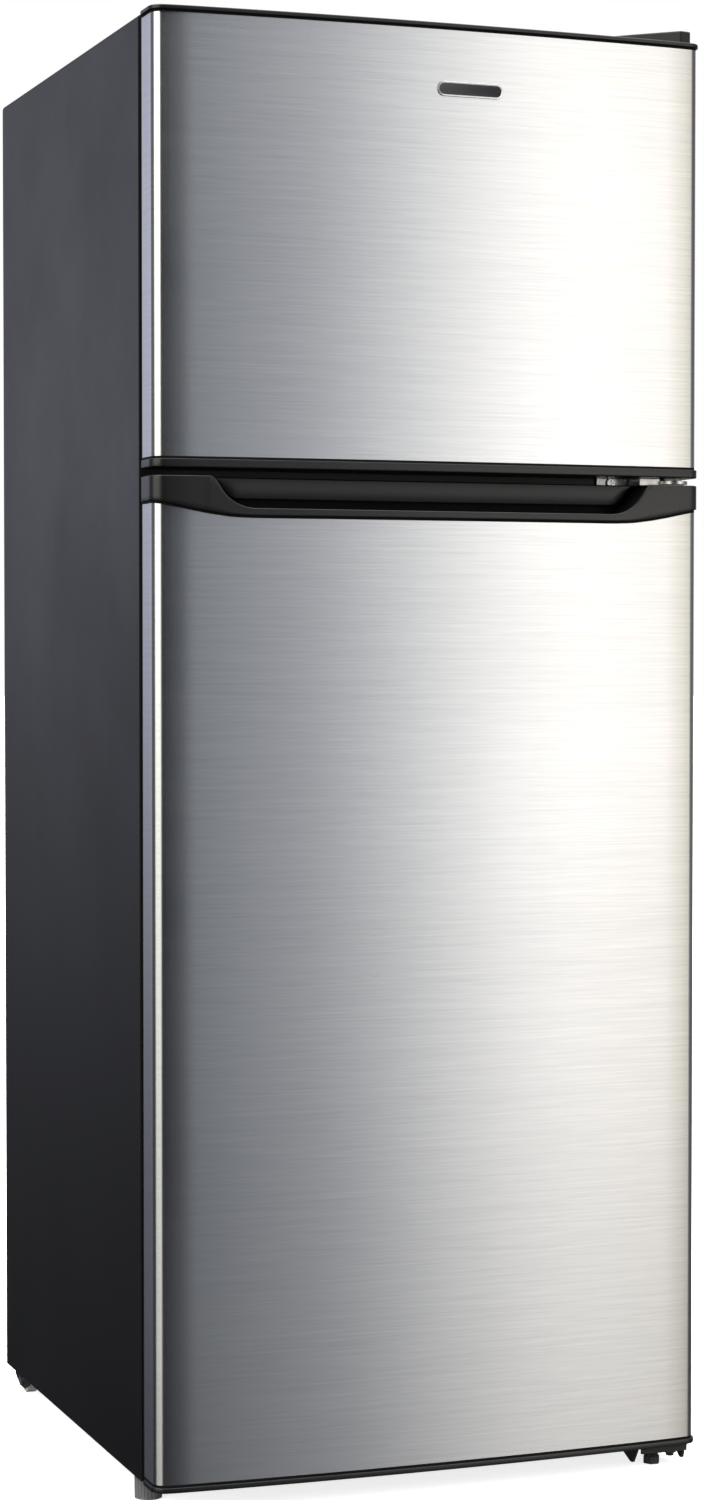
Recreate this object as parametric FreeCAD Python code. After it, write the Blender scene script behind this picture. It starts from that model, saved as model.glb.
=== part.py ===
"""Compact top freezer refrigerator, built as separate bodies. Millimetres, +Z up, front faces -Y.
The origin is on the floor, at the centre of the footprint."""
import FreeCAD, Part
import math
import os

V = FreeCAD.Vector
X_AXIS, Y_AXIS, Z_AXIS = V(1, 0, 0), V(0, 1, 0), V(0, 0, 1)

# cabinet envelope
HALF_W = 272.5
FRONT = -230.0
BACK = 289.5
BASE = 22.0
TOP = 1373.0
SHEET = 0.8
FLANGE_X = 236.5            # inner edge of the steel front flange
FLANGE_TOP = 1336.0
CORNER_R = 5.0

# liners and the space round them
LINER = 2.0
CAVITY_X = 227.5
CAVITY_BACK = 229.0
CAVITY_R = 14.0
FRIDGE_FLOOR, FRIDGE_CEILING = 77.0, 927.0
FREEZER_FLOOR, FREEZER_CEILING = 980.0, 1326.0
STEP_TOP, STEP_FACE = 257.0, 52.0
LINER_LIP = 14.0
LEDGE_W, LEDGE_H = 8.0, 4.0

# compressor bay
BAY_FRONT, BAY_TOP = 100.0, 212.0
RAIL_Z, RAIL_T = 30.0, 1.5

# mullion between the two compartments
MULLION_LOW, MULLION_HIGH = 930.0, 977.0

# doors
DOOR_BACK = -237.0
DOOR_EDGE_Y = -278.5
DOOR_BOW = 9.0
DOOR_CORNER_R = 12.0
CAP_PROUD = 2.0
CAP_WALL = 2.4
CAP_CHAMFER = 6.0
FREEZER_METAL = (966.5, 1366.0)
FREEZER_CAPS = (957.2, 1372.4)
FRIDGE_METAL = (30.5, 912.3)
FRIDGE_CAPS = (22.3, 950.0)
RETURN_X = 262.0
DYKE_X, DYKE_W, DYKE_BACK = 218.0, 22.0, -207.0
GASKET_OUT, GASKET_IN = 254.0, 238.0
GASKET_BACK = -230.3

# handle recess in the top cap of the fridge door
POCKET_BACK = -260.0
POCKET_UNDERCUT = -248.0
LIP_BACK = -280.0
WELL_FLOOR, WELL_TOP = 902.0, 932.0
WELL_X, WELL_SPREAD = 184.0, 20.0
POCKET_WALL = 2.5
POCKET_FLAT = 180.0         # half width of the level part of the lip
RAISED_LINE = 9.0           # height of the inner ledge over the lip
LIP_CURVE = [(221.0, 950.0), (214.7, 946.0), (210.6, 939.3), (205.6, 932.5), (199.5, 927.7),
             (194.4, 924.8), (188.0, 922.4), (POCKET_FLAT, 921.0)]
CAP_CURVE = [(276.0, 925.6), (265.0, 924.0), (249.0, 921.0), (240.0, 919.0), (220.0, 915.5),
             (200.0, 913.0), (POCKET_FLAT, 912.3)]
SKIN_TUCK = 3.0             # how far the door skin reaches up behind the cap's rim
CAP_PLATE = 3.0

# hinges
PIVOT_X, PIVOT_Y = 254.0, -260.0
PIN_R = 4.0
RUNNING = 0.05
BUSH_R = 6.0
BUSH_L = 14.0
HINGE_PLATE = 3.0
MIDDLE_PLATE_Z = 951.6
COVER_TOP = 1385.0
COVER_WALL = 1.8
COVER_OUTLINE = [(219, -241), (255, -273), (266, -271), (268, -262), (268, -150), (206, -150), (206, -228)]
LOCKNUT_R = 8.0
EYE_R = 14.0                # middle hinge eye
WASHER_R, WASHER_PLAY = 8.5, 0.2
TAB_X = (219.0, 240.0)      # folded front edge of the middle hinge

# feet and rollers
LEFT_FOOT = (-258.0, -203.0)
RIGHT_FOOT = (238.0, -252.0)
FOOT_R, FOOT_H = 13.0, 20.0
STEM_R = 4.0
ROLLER_X, ROLLER_Y, ROLLER_R, ROLLER_W = 258.0, 243.0, 13.0, 12.0
AXLE_R = 3.0

# compressor
COMP_X, COMP_Y, COMP_R = -60.0, 196.0, 58.0
COMP_Z0, COMP_Z1 = 42.0, 176.0
COMP_FOOT_X, COMP_FOOT_Y = 78.0, 42.0
GROMMET_NECK = 6.0
DRIER_X, DRIER_Y, DRIER_R = 150.0, 160.0, 9.0
DRIER_Z0, DRIER_Z1, DRIER_NECK = 70.0, 160.0, 12.0
PAN_WALL = 2.0
ENTRY_R = 7.0
BEND_R, BEND_SHARE = 16.0, 0.45     # pipe bend radius, and the share of a short run that a bend may take

# storage
SHELF_LEVELS = (470.0, 690.0)
SHELF_X, SHELF_FRONT, SHELF_BACK = 221.0, -112.0, 222.0
GLASS_T = 4.0
FREEZER_SHELF_Z = 1150.0
WIRE_R = 2.0
COVER_Z = 243.0
CRISPER_X, CRISPER_FRONT, CRISPER_BACK = 205.0, -94.0, 40.0
CRISPER_Z0, CRISPER_Z1 = 82.0, 232.0
BIN_X = DYKE_X - DYKE_W
BIN_BACK = DOOR_BACK + 105.0
RACK_BACK = DOOR_BACK + 85.0
PLASTIC = 2.5

# controls
KNOB_X, KNOB_Z, KNOB_R = 38.0, 902.0, 17.0
HOUSING_FRONT, HOUSING_BACK = -118.0, 30.0
HOUSING_X, HOUSING_LOW = 78.0, 880.0
SWITCH_X, SWITCH_Z = 176.0, 906.0
SWITCH_HALF, SWITCH_FRONT, SWITCH_BACK = 9.0, -190.0, -150.0
LAMP_X, LAMP_Z, LAMP_R = -28.0, 902.0, 9.0
WINDOW_X, WINDOW_Y = (-62.0, 6.0), (-92.0, 6.0)


def box(x0, x1, y0, y1, z0, z1):
    """Return the axis-aligned block between the given limits."""
    return Part.makeBox(x1 - x0, y1 - y0, z1 - z0, V(x0, y0, z0))


def sym_box(half_x, y0, y1, z0, z1):
    """Return a block that is centred across the width."""
    return box(-half_x, half_x, y0, y1, z0, z1)


def rod(r, start, end):
    """Return a round rod from start to end."""
    a, b = V(*start), V(*end)
    return Part.makeCylinder(r, (b - a).Length, a, b - a)


def tube(r_out, r_in, start, end):
    """Return a round tube from start to end."""
    return rod(r_out, start, end).cut(rod(r_in, start, end))


def fuse(shapes):
    """Join shapes into one."""
    shapes = list(shapes)
    whole = shapes[0].multiFuse(shapes[1:]) if len(shapes) > 1 else shapes[0]
    return whole.removeSplitter()


def mirror_x(shape):
    """Return the shape mirrored to the other side."""
    return shape.mirror(V(0, 0, 0), X_AXIS)


def polygon_prism(points, base, direction):
    """Extrude a closed polygon of 3-D points along a vector."""
    wire = Part.makePolygon([V(*p) for p in points] + [V(*points[0])])
    return Part.Face(wire).extrude(V(*direction)).translated(V(*base))


def round_edges(shape, radius, along, where=lambda p: True):
    """Fillet the straight edges that run along one axis and pass the test."""
    chosen = []
    for edge in shape.Edges:
        if not isinstance(edge.Curve, (Part.Line, Part.LineSegment)):
            continue
        run = edge.Vertexes[-1].Point - edge.Vertexes[0].Point
        if abs(run.normalize().dot(along)) > 0.999 and where(edge.CenterOfMass):
            chosen.append(edge)
    return shape.makeFillet(radius, chosen) if chosen else shape


def hexagon(r, x, y, z0, z1):
    """Return an upright hexagonal prism, r being its corner radius."""
    points = [(x + r * math.cos(k * math.pi / 3), y + r * math.sin(k * math.pi / 3), z0) for k in range(6)]
    return polygon_prism(points, (0, 0, 0), (0, 0, z1 - z0))


def bend(before, corner, after):
    """Return the arc that rounds one corner of a pipe's line, kept short of the neighbouring corners."""
    arriving = (corner - before).normalize()
    leaving = (after - corner).normalize()
    half_turn = arriving.getAngle(leaving) / 2
    room = min((corner - before).Length, (after - corner).Length) * BEND_SHARE
    reach = min(BEND_R * math.tan(half_turn), room)
    radius = reach / math.tan(half_turn)
    inward = (leaving - arriving).normalize()
    middle = corner + inward * (radius / math.cos(half_turn) - radius)
    return Part.Arc(corner - arriving * reach, middle, corner + leaving * reach).toShape()


def pipe(points, r):
    """Return a round pipe through the points, bent smoothly at each corner."""
    line = [V(*p) for p in points]
    bends = [bend(*corner) for corner in zip(line, line[1:], line[2:])]
    starts = [line[0]] + [arc.lastVertex().Point for arc in bends]
    ends = [arc.firstVertex().Point for arc in bends] + [line[-1]]
    edges = []
    for index, (start, end) in enumerate(zip(starts, ends)):
        edges.append(Part.makeLine(start, end))
        edges += bends[index:index + 1]
    ring = Part.Wire([Part.makeCircle(r, line[0], line[1] - line[0])])
    return Part.Wire(edges).makePipeShell([ring], True, False)


def bins_shell(half_x, y0, y1, z0, z1, wall, corner):
    """Return an open-topped tray with rounded upright corners."""
    outer = round_edges(sym_box(half_x, y0, y1, z0, z1), corner, Z_AXIS)
    inner = sym_box(half_x - wall, y0 + wall, y1 - wall, z0 + wall, z1 + 1)
    return outer.cut(round_edges(inner, corner - wall, Z_AXIS))


# ---------------------------------------------------------------- cabinet

def outer_shell():
    """Folded steel wrap: both sides, the top and the turned-in front flange."""
    top_corner = lambda p: p.z > TOP - 1
    outer = round_edges(sym_box(HALF_W, FRONT, BACK, BASE, TOP), CORNER_R, Y_AXIS, top_corner)
    inner = sym_box(HALF_W - SHEET, FRONT + SHEET, BACK + 1, BASE - 1, TOP - SHEET)
    inner = round_edges(inner, CORNER_R - SHEET, Y_AXIS, lambda p: p.z > TOP - 2)
    window = sym_box(FLANGE_X, FRONT - 1, FRONT + 2, BASE - 1, FLANGE_TOP)
    return outer.cut(inner).cut(window)


def back_panel():
    """Flat rear sheet with pressed stiffening panels."""
    y0 = BACK - SHEET
    sheet = sym_box(HALF_W - CORNER_R, y0, BACK, BAY_TOP + SHEET, TOP - CORNER_R)
    for z in (330, 680, 1030):
        rib = round_edges(sym_box(205, y0 - 2, BACK, z, z + 270), 20, Y_AXIS)
        well = sym_box(205 - SHEET, BACK - 2, BACK + 1, z + SHEET, z + 270 - SHEET)
        well = round_edges(well, 20 - SHEET, Y_AXIS)
        sheet = sheet.fuse(rib).cut(well)
    return sheet.removeSplitter()


def bay_bulkhead():
    """Stepped sheet that closes the foam off from the compressor bay."""
    half = HALF_W - SHEET
    wall = sym_box(half, BAY_FRONT - SHEET, BAY_FRONT, BASE + SHEET, BAY_TOP + SHEET)
    roof = sym_box(half, BAY_FRONT - SHEET, BACK, BAY_TOP, BAY_TOP + SHEET)
    return fuse([wall, roof])


def base_pan():
    """Bottom sheet with its front rail, and the threaded collar for the left foot."""
    half = HALF_W - SHEET
    floor = sym_box(half, FRONT + SHEET, BAY_FRONT, BASE, BASE + SHEET)
    rail = sym_box(FLANGE_X, FRONT, FRONT + SHEET, BASE, FRIDGE_FLOOR - 3)
    x, y = LEFT_FOOT
    collar = rod(8, (x, y, BASE), (x, y, BASE + 12))
    return fuse([floor, rail, collar]).cut(rod(STEM_R + RUNNING, (x, y, 0), (x, y, BASE + 20)))


def liner_block(grow, z0, z1):
    """Return a compartment's block, grown by the liner wall where asked."""
    block = sym_box(CAVITY_X + grow, FRONT + SHEET, CAVITY_BACK + grow, z0 - grow, z1 + grow)
    return round_edges(block, CAVITY_R + grow, Y_AXIS)


def step_block(grow):
    """Return the block that the compressor step takes out of the fridge compartment."""
    return sym_box(HALF_W, STEP_FACE + grow, CAVITY_BACK + 20, FRIDGE_FLOOR - 20, STEP_TOP - grow)


def fridge_block(grow):
    """Return the fridge compartment's block with its step."""
    return liner_block(grow, FRIDGE_FLOOR, FRIDGE_CEILING).cut(step_block(grow))


def liner_lip(z0, z1):
    """Return the lip that hooks behind the steel front flange."""
    y0 = FRONT + SHEET
    frame = sym_box(CAVITY_X + LINER_LIP, y0, y0 + LINER, z0 - LINER_LIP, z1 + LINER_LIP)
    return frame


def ledge(z, y0, y1):
    """Return the pair of moulded shelf ledges at one level."""
    left = box(-CAVITY_X, -CAVITY_X + LEDGE_W, y0, y1, z - LEDGE_H, z)
    return [left, mirror_x(left)]


def freezer_liner():
    """Moulded liner of the freezer compartment."""
    outer = liner_block(LINER, FREEZER_FLOOR, FREEZER_CEILING)
    shell = fuse([outer, liner_lip(FREEZER_FLOOR, FREEZER_CEILING)])
    shell = shell.cut(liner_block(0, FREEZER_FLOOR, FREEZER_CEILING))
    return fuse([shell] + ledge(FREEZER_SHELF_Z, SHELF_FRONT, CAVITY_BACK))


def fridge_liner():
    """Moulded liner of the fridge compartment with its shelf ledges."""
    shell = fuse([fridge_block(LINER), liner_lip(FRIDGE_FLOOR, FRIDGE_CEILING)])
    shell = shell.cut(fridge_block(0))
    pieces = [shell]
    for z in SHELF_LEVELS:
        pieces += ledge(z, SHELF_FRONT, CAVITY_BACK)
    pieces += ledge(COVER_Z, SHELF_FRONT, STEP_FACE)
    return fuse(pieces).cut(switch_bore())


def mullion_rail():
    """Steel channel across the front between the two compartments."""
    y1 = FRONT + SHEET
    plate = sym_box(FLANGE_X, FRONT, y1, MULLION_LOW, MULLION_HIGH)
    webs = [sym_box(FLANGE_X - 12, y1, y1 + 26, z, z + SHEET) for z in (944.0, 962.2)]
    return fuse([plate] + webs)


def evaporator():
    """Bonded aluminium evaporator wrapped round three sides of the freezer liner."""
    x0 = CAVITY_X + LINER
    y1 = CAVITY_BACK + LINER
    z0, z1 = FREEZER_FLOOR + 30, FREEZER_CEILING - 30
    side = box(x0, x0 + 1.5, -150, y1 + 1.5, z0, z1)
    rear = sym_box(x0, y1, y1 + 1.5, z0, z1)
    pieces = [side, mirror_x(side), rear]
    for k in range(6):
        z = z0 + 24 + k * 47.6
        run = rod(3.5, (x0 + 4, -140, z), (x0 + 4, y1 - 6, z))
        pieces += [run, mirror_x(run), rod(3.5, (-x0 + 6, y1 + 4, z), (x0 - 6, y1 + 4, z))]
    return fuse(pieces)


def condenser_side():
    """Serpentine condenser tube behind the right side panel."""
    x = HALF_W - SHEET - 2.6
    r, pitch, low, high, count = 2.5, 60.0, 270.0, 1300.0, 6
    y0 = -120.0
    pieces = []
    for k in range(count):
        y = y0 + k * pitch
        pieces.append(rod(r, (x, y, low), (x, y, high)))
        if k < count - 1:
            z = high if k % 2 == 0 else low
            ring = Part.makeTorus(pitch / 2, r, V(x, y + pitch / 2, z), X_AXIS)
            half = box(x - 5, x + 5, y - 5, y + pitch + 5, z, z + 60)
            if z == low:
                half = box(x - 5, x + 5, y - 5, y + pitch + 5, z - 60, z)
            pieces.append(ring.common(half))
    return fuse(pieces)


def condenser_coil():
    """Both side condensers."""
    right = condenser_side()
    return Part.makeCompound([right, mirror_x(right)])


def cabinet_foam(cuts):
    """Insulation that fills the space between the steel and the liners."""
    half = HALF_W - SHEET
    block = sym_box(half, FRONT + SHEET, BACK - SHEET, BASE + SHEET, TOP - SHEET)
    block = round_edges(block, CORNER_R - SHEET, Y_AXIS, lambda p: p.z > TOP - 2)
    block = block.cut(sym_box(half + 1, BAY_FRONT - SHEET, BACK + 1, BASE, BAY_TOP + SHEET))
    block = block.cut(fridge_block(LINER)).cut(liner_block(LINER, FREEZER_FLOOR, FREEZER_CEILING))
    block = block.cut(liner_lip(FRIDGE_FLOOR, FRIDGE_CEILING))
    block = block.cut(liner_lip(FREEZER_FLOOR, FREEZER_CEILING))
    for cutter in cuts:
        block = block.cut(cutter)
    x, y = LEFT_FOOT
    block = block.cut(rod(STEM_R + 2, (x, y, 0), (x, y, BASE + 36)))
    return max(block.Solids, key=lambda solid: solid.Volume)


# ---------------------------------------------------------------- compressor bay

def compressor_rail():
    """Pressed rail across the bay, with side cheeks, for the compressor and the rear rollers."""
    half = HALF_W - SHEET
    deck = sym_box(half, 120, 284, RAIL_Z, RAIL_Z + RAIL_T)
    lips = [sym_box(236, y, y + RAIL_T, BASE + 1, RAIL_Z) for y in (120, 284 - RAIL_T)]
    cheek = box(half - RAIL_T, half, BAY_FRONT, BACK, BASE + 1, BAY_TOP)
    return fuse([deck, cheek, mirror_x(cheek)] + lips)


def comp_feet():
    """Return the four grommet positions."""
    return [(COMP_X + sx * COMP_FOOT_X, COMP_Y + sy * COMP_FOOT_Y) for sx in (-1, 1) for sy in (-1, 1)]


def compressor():
    """Welded compressor shell on its pressed feet."""
    shell = rod(COMP_R, (COMP_X, COMP_Y, COMP_Z0), (COMP_X, COMP_Y, COMP_Z1))
    shell = shell.makeFillet(26, [e for e in shell.Edges if e.Length > 300])
    seam = rod(COMP_R + 3, (COMP_X, COMP_Y, 104), (COMP_X, COMP_Y, 108))
    plate = box(COMP_X - 92, COMP_X + 92, COMP_Y - 54, COMP_Y + 54, COMP_Z0 + 1, COMP_Z0 + 4)
    plate = round_edges(plate, 12, Z_AXIS)
    for x, y in comp_feet():
        plate = plate.cut(rod(GROMMET_NECK, (x, y, COMP_Z0 - 5), (x, y, COMP_Z0 + 9)))
    stubs = [rod(4, (COMP_X - 30, COMP_Y + 30, 140), (COMP_X - 62, COMP_Y + 62, 140)),
             rod(3, (COMP_X + 36, COMP_Y + 26, 90), (COMP_X + 70, COMP_Y + 50, 90)),
             rod(3, (COMP_X - 36, COMP_Y + 26, 84), (COMP_X - 74, COMP_Y + 50, 84))]
    return fuse([shell, seam, plate] + stubs)


def grommet(x, y):
    """Rubber grommet that isolates one compressor foot."""
    z = RAIL_Z + RAIL_T
    body = fuse([rod(10, (x, y, z), (x, y, COMP_Z0 + 1)),
                 rod(GROMMET_NECK - RUNNING, (x, y, z), (x, y, COMP_Z0 + 4)),
                 rod(9, (x, y, COMP_Z0 + 4), (x, y, COMP_Z0 + 8))])
    return body.cut(rod(3, (x, y, 0), (x, y, 80)))


def comp_bolt(x, y):
    """Bolt through one grommet."""
    z = COMP_Z0 + 8
    head = rod(6, (x, y, z), (x, y, z + 3))
    return fuse([head, rod(3, (x, y, RAIL_Z - 4), (x, y, z))])


def terminal_cover():
    """Moulded cover over the starting relay, with the cord's entry."""
    x = COMP_X + COMP_R
    cover = round_edges(box(x + 4, x + 40, COMP_Y - 30, COMP_Y + 22, 92, 150), 5, X_AXIS)
    hollow = box(x + 6, x + 38, COMP_Y - 28, COMP_Y + 20, 94, 148)
    neck = box(x - 8, x + 6, COMP_Y - 22, COMP_Y + 14, 110, 140)
    neck = neck.cut(rod(COMP_R + 3, (COMP_X, COMP_Y, 80), (COMP_X, COMP_Y, 160)))
    entry = rod(ENTRY_R, (x + 22, COMP_Y - 20, 80), (x + 22, COMP_Y - 20, 100))
    return fuse([cover.cut(hollow), neck]).cut(entry)


def cord_gland():
    """Rubber gland in the relay cover for a supply cord."""
    x, y = COMP_X + COMP_R + 22, COMP_Y - 20
    body = fuse([rod(ENTRY_R - RUNNING, (x, y, 92), (x, y, 94)), rod(9, (x, y, 86), (x, y, 92))])
    return body.cut(rod(4, (x, y, 80), (x, y, 100)))


def filter_drier():
    """Copper filter drier standing in the bay."""
    x, y = DRIER_X, DRIER_Y
    body = rod(DRIER_R, (x, y, DRIER_Z0), (x, y, DRIER_Z1))
    upper = Part.makeCone(DRIER_R, 3.5, DRIER_NECK, V(x, y, DRIER_Z1), Z_AXIS)
    lower = Part.makeCone(DRIER_R, 3.5, DRIER_NECK, V(x, y, DRIER_Z0), Z_AXIS * -1)
    clip = box(x - 3, x + 3, BAY_FRONT, y - 8, 110, 118)
    return fuse([body, clip, upper, lower])


def refrigerant_tubes():
    """Discharge, suction and liquid lines in the bay."""
    discharge = pipe([(COMP_X + 70, COMP_Y + 50, 90), (COMP_X + 81.9, COMP_Y + 58.4, 90), (90, 262, 90),
                      (200, 262, 120), (240, 240, 150), (240, 130, 190), (240, 130, BAY_TOP)], 3.0)
    suction = pipe([(COMP_X - 62, COMP_Y + 62, 140), (COMP_X - 70, COMP_Y + 70, 140), (-170, 262, 140),
                    (-210, 240, 170), (-210, 150, 195), (-210, 150, BAY_TOP)], 4.0)
    x, y = DRIER_X, DRIER_Y
    top, low = DRIER_Z1 + DRIER_NECK + 0.2, DRIER_Z0 - DRIER_NECK - 0.2
    liquid = pipe([(x, y, top), (x, y, 196), (x - 30, y - 30, 200), (x - 30, y - 30, BAY_TOP)], 2.0)
    feed = pipe([(x, y, low), (x, y, 48), (x + 70, y, 48), (x + 70, y, BAY_TOP)], 2.0)
    return Part.makeCompound([discharge, suction, liquid, feed])


def drip_pan():
    """Evaporation tray above the compressor."""
    z0 = COMP_Z1 + 2
    x0, x1, y0, y1 = COMP_X - 75, COMP_X + 75, COMP_Y - 50, COMP_Y + 55
    tray = round_edges(box(x0, x1, y0, y1, z0, z0 + 24), 14, Z_AXIS)
    inner = box(x0 + PAN_WALL, x1 - PAN_WALL, y0 + PAN_WALL, y1 - PAN_WALL, z0 + PAN_WALL, z0 + 30)
    tray = tray.cut(round_edges(inner, 14 - PAN_WALL, Z_AXIS))
    posts = [rod(4, (COMP_X + dx, COMP_Y, COMP_Z1), (COMP_X + dx, COMP_Y, z0)) for dx in (-25, 25)]
    return fuse([tray] + posts)


# ---------------------------------------------------------------- feet and rollers

def left_foot():
    """Ribbed levelling foot with its threaded stem."""
    x, y = LEFT_FOOT
    disc = rod(FOOT_R, (x, y, 0), (x, y, FOOT_H))
    for k in range(24):
        a = k * math.pi / 12
        cx, cy = x + (FOOT_R + 0.2) * math.cos(a), y + (FOOT_R + 0.2) * math.sin(a)
        disc = disc.cut(rod(0.9, (cx, cy, 1.5), (cx, cy, FOOT_H + 1)))
    return fuse([disc, rod(STEM_R, (x, y, FOOT_H), (x, y, BASE + 30))])


def right_foot():
    """Hexagon-headed levelling screw in the bottom hinge."""
    x, y = RIGHT_FOOT
    head = hexagon(8.5, x, y, 0, 7)
    collar = rod(6.5, (x, y, 7), (x, y, 9))
    return fuse([head, collar, rod(STEM_R, (x, y, 9), (x, y, BASE - 0.4))])


def roller_bracket():
    """Channel that holds the right rear roller."""
    x0, x1 = ROLLER_X - 9, ROLLER_X + 9
    y0, y1 = ROLLER_Y - 31, ROLLER_Y + 29
    web = box(x0, x1, y0, y1, RAIL_Z - 1.5, RAIL_Z)
    cheeks = []
    for x in (x0, x1 - RAIL_T):
        points = [(x, y0, RAIL_Z), (x, y1, RAIL_Z), (x, y1, 14), (x, ROLLER_Y + 9, 6), (x, ROLLER_Y - 9, 6),
                  (x, y0, 14)]
        cheeks.append(polygon_prism(points, (0, 0, 0), (RAIL_T, 0, 0)))
    axle = rod(AXLE_R, (x0 - 1, ROLLER_Y, ROLLER_R), (x1 + 1, ROLLER_Y, ROLLER_R))
    return fuse([web] + cheeks).cut(axle)


def roller_axle():
    """Riveted axle of the right rear roller."""
    x0, x1 = ROLLER_X - 9, ROLLER_X + 9
    shaft = rod(AXLE_R, (x0 - 1, ROLLER_Y, ROLLER_R), (x1 + 1, ROLLER_Y, ROLLER_R))
    heads = [rod(5, (x0 - 2.2, ROLLER_Y, ROLLER_R), (x0, ROLLER_Y, ROLLER_R)),
             rod(5, (x1, ROLLER_Y, ROLLER_R), (x1 + 2.2, ROLLER_Y, ROLLER_R))]
    return fuse([shaft] + heads)


def roller():
    """Right rear roller with a hub and a rounded tread."""
    half = ROLLER_W / 2
    wheel = rod(ROLLER_R, (ROLLER_X - half, ROLLER_Y, ROLLER_R), (ROLLER_X + half, ROLLER_Y, ROLLER_R))
    wheel = wheel.makeFillet(2.0, [e for e in wheel.Edges if isinstance(e.Curve, Part.Circle)])
    bore = rod(AXLE_R + RUNNING, (ROLLER_X - 20, ROLLER_Y, ROLLER_R), (ROLLER_X + 20, ROLLER_Y, ROLLER_R))
    return wheel.cut(bore)


# ---------------------------------------------------------------- doors

def door_prism(grow, z0, z1, chamfer=0.0, back=DOOR_BACK):
    """Return the bowed door outline, grown outwards and extruded between two levels."""
    half = HALF_W + grow
    edge_y = DOOR_EDGE_Y - grow
    right = [(half - chamfer, back)] + ([(half, back - chamfer)] if chamfer else []) + [(half, edge_y)]
    left = [(-x, y) for x, y in reversed(right)]
    points = [V(x, y, z0) for x, y in right]
    ends = [V(x, y, z0) for x, y in left]
    edges = [Part.makeLine(a, b) for a, b in zip(points, points[1:])]
    edges.append(Part.Arc(points[-1], V(0, edge_y - DOOR_BOW, z0), ends[0]).toShape())
    edges += [Part.makeLine(a, b) for a, b in zip(ends, ends[1:])]
    edges.append(Part.makeLine(ends[-1], points[0]))
    solid = Part.Face(Part.Wire(edges)).extrude(V(0, 0, z1 - z0))
    corner = lambda p: abs(abs(p.x) - half) < 0.01 and abs(p.y - edge_y) < 0.01
    return round_edges(solid, DOOR_CORNER_R + grow, Z_AXIS, corner)


def door_skin(z0, z1):
    """Folded door skin with its turned-in rear edges."""
    outer = door_prism(0, z0, z1)
    inner = door_prism(-SHEET, z0 - 1, z1 + 1, back=DOOR_BACK - SHEET)
    window = sym_box(RETURN_X, DOOR_BACK - 2, DOOR_BACK + 1, z0 - 1, z1 + 1)
    return outer.cut(inner).cut(window)


def end_cap(z_out, z_metal, depth, pivot_side):
    """Moulded end cap: a proud rim and plate, a plug inside the skin and a bush boss."""
    up = z_out > z_metal
    plate_z = (z_out - CAP_WALL, z_out) if up else (z_out, z_out + CAP_WALL)
    rim_z = (z_metal, z_out) if up else (z_out, z_metal)
    plug_z = (z_metal - depth, z_out) if up else (z_out, z_metal + depth)
    plate = door_prism(CAP_PROUD, *plate_z, chamfer=CAP_CHAMFER)
    rim = door_prism(CAP_PROUD, *rim_z, chamfer=CAP_CHAMFER)
    rim = rim.cut(door_prism(-4.0, rim_z[0] - 1, rim_z[1] + 1, back=DOOR_BACK - 5))
    plug = door_prism(-SHEET, *plug_z, back=DOOR_BACK - 2)
    plug = plug.cut(door_prism(-4.0, plug_z[0] - 1, plug_z[1] + 1, back=DOOR_BACK - 5))
    boss = rod(BUSH_R + 3, (PIVOT_X, PIVOT_Y, plug_z[0]), (PIVOT_X, PIVOT_Y, plug_z[1]))
    cap = fuse([plate, rim, plug, boss])
    return cap.cut(pivot_side)


def bush(z_out, inward):
    """Flanged hinge bush pressed into a door cap."""
    z1 = z_out + inward * BUSH_L
    body = rod(BUSH_R, (PIVOT_X, PIVOT_Y, z_out), (PIVOT_X, PIVOT_Y, z1))
    bore = rod(PIN_R + RUNNING, (PIVOT_X, PIVOT_Y, z_out - inward), (PIVOT_X, PIVOT_Y, z1 + inward))
    return body.cut(bore)


def bush_seat(z_out, inward):
    """Return the hole that a bush takes out of the cap and foam."""
    return rod(BUSH_R, (PIVOT_X, PIVOT_Y, z_out - inward), (PIVOT_X, PIVOT_Y, z_out + inward * BUSH_L))


def gasket(z0, z1):
    """Magnetic gasket frame with its bellows groove."""
    y0, y1 = DOOR_BACK, GASKET_BACK
    frame = sym_box(GASKET_OUT, y0, y1, z0, z1)
    frame = round_edges(frame, 5, Y_AXIS)
    width = GASKET_OUT - GASKET_IN
    hole = round_edges(sym_box(GASKET_IN, y0 - 1, y1 + 1, z0 + width, z1 - width), 4, Y_AXIS)
    groove = sym_box(GASKET_OUT + 1, y0 + 2.6, y0 + 4.0, z0 - 1, z1 + 1)
    core = sym_box(GASKET_OUT - 3, y0, y1, z0 + 3, z1 - 3)
    return frame.cut(hole).cut(groove.cut(core))


def dyke(z0, z1, grow):
    """Return the raised frame on the back of a door liner."""
    outer = sym_box(DYKE_X + grow, DOOR_BACK - LINER, DYKE_BACK + grow, z0 - grow, z1 + grow)
    outer = round_edges(outer, 16 + grow, Y_AXIS)
    inner_x = DYKE_X - DYKE_W - grow
    inner = sym_box(inner_x, DOOR_BACK - 10, DYKE_BACK + 10, z0 + DYKE_W + grow, z1 - DYKE_W - grow)
    return outer.cut(inner)


def door_liner(z0, z1, dyke0, dyke1):
    """Moulded door liner: the plate under the gasket and the raised frame."""
    plate = sym_box(RETURN_X, DOOR_BACK - LINER, DOOR_BACK, z0, z1)
    shell = dyke(dyke0, dyke1, 0)
    return fuse([plate, shell]).cut(dyke_core(dyke0, dyke1))


def dyke_core(z0, z1):
    """Return the foam-filled space inside the raised frame."""
    return dyke(z0, z1, -LINER)


def door_foam(z0, z1, dyke0, dyke1, cuts):
    """Foam core of a door."""
    core = door_prism(-SHEET, z0, z1, back=DOOR_BACK - LINER)
    core = fuse([core, dyke_core(dyke0, dyke1)])
    for cutter in cuts:
        core = core.cut(cutter)
    return core


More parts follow.
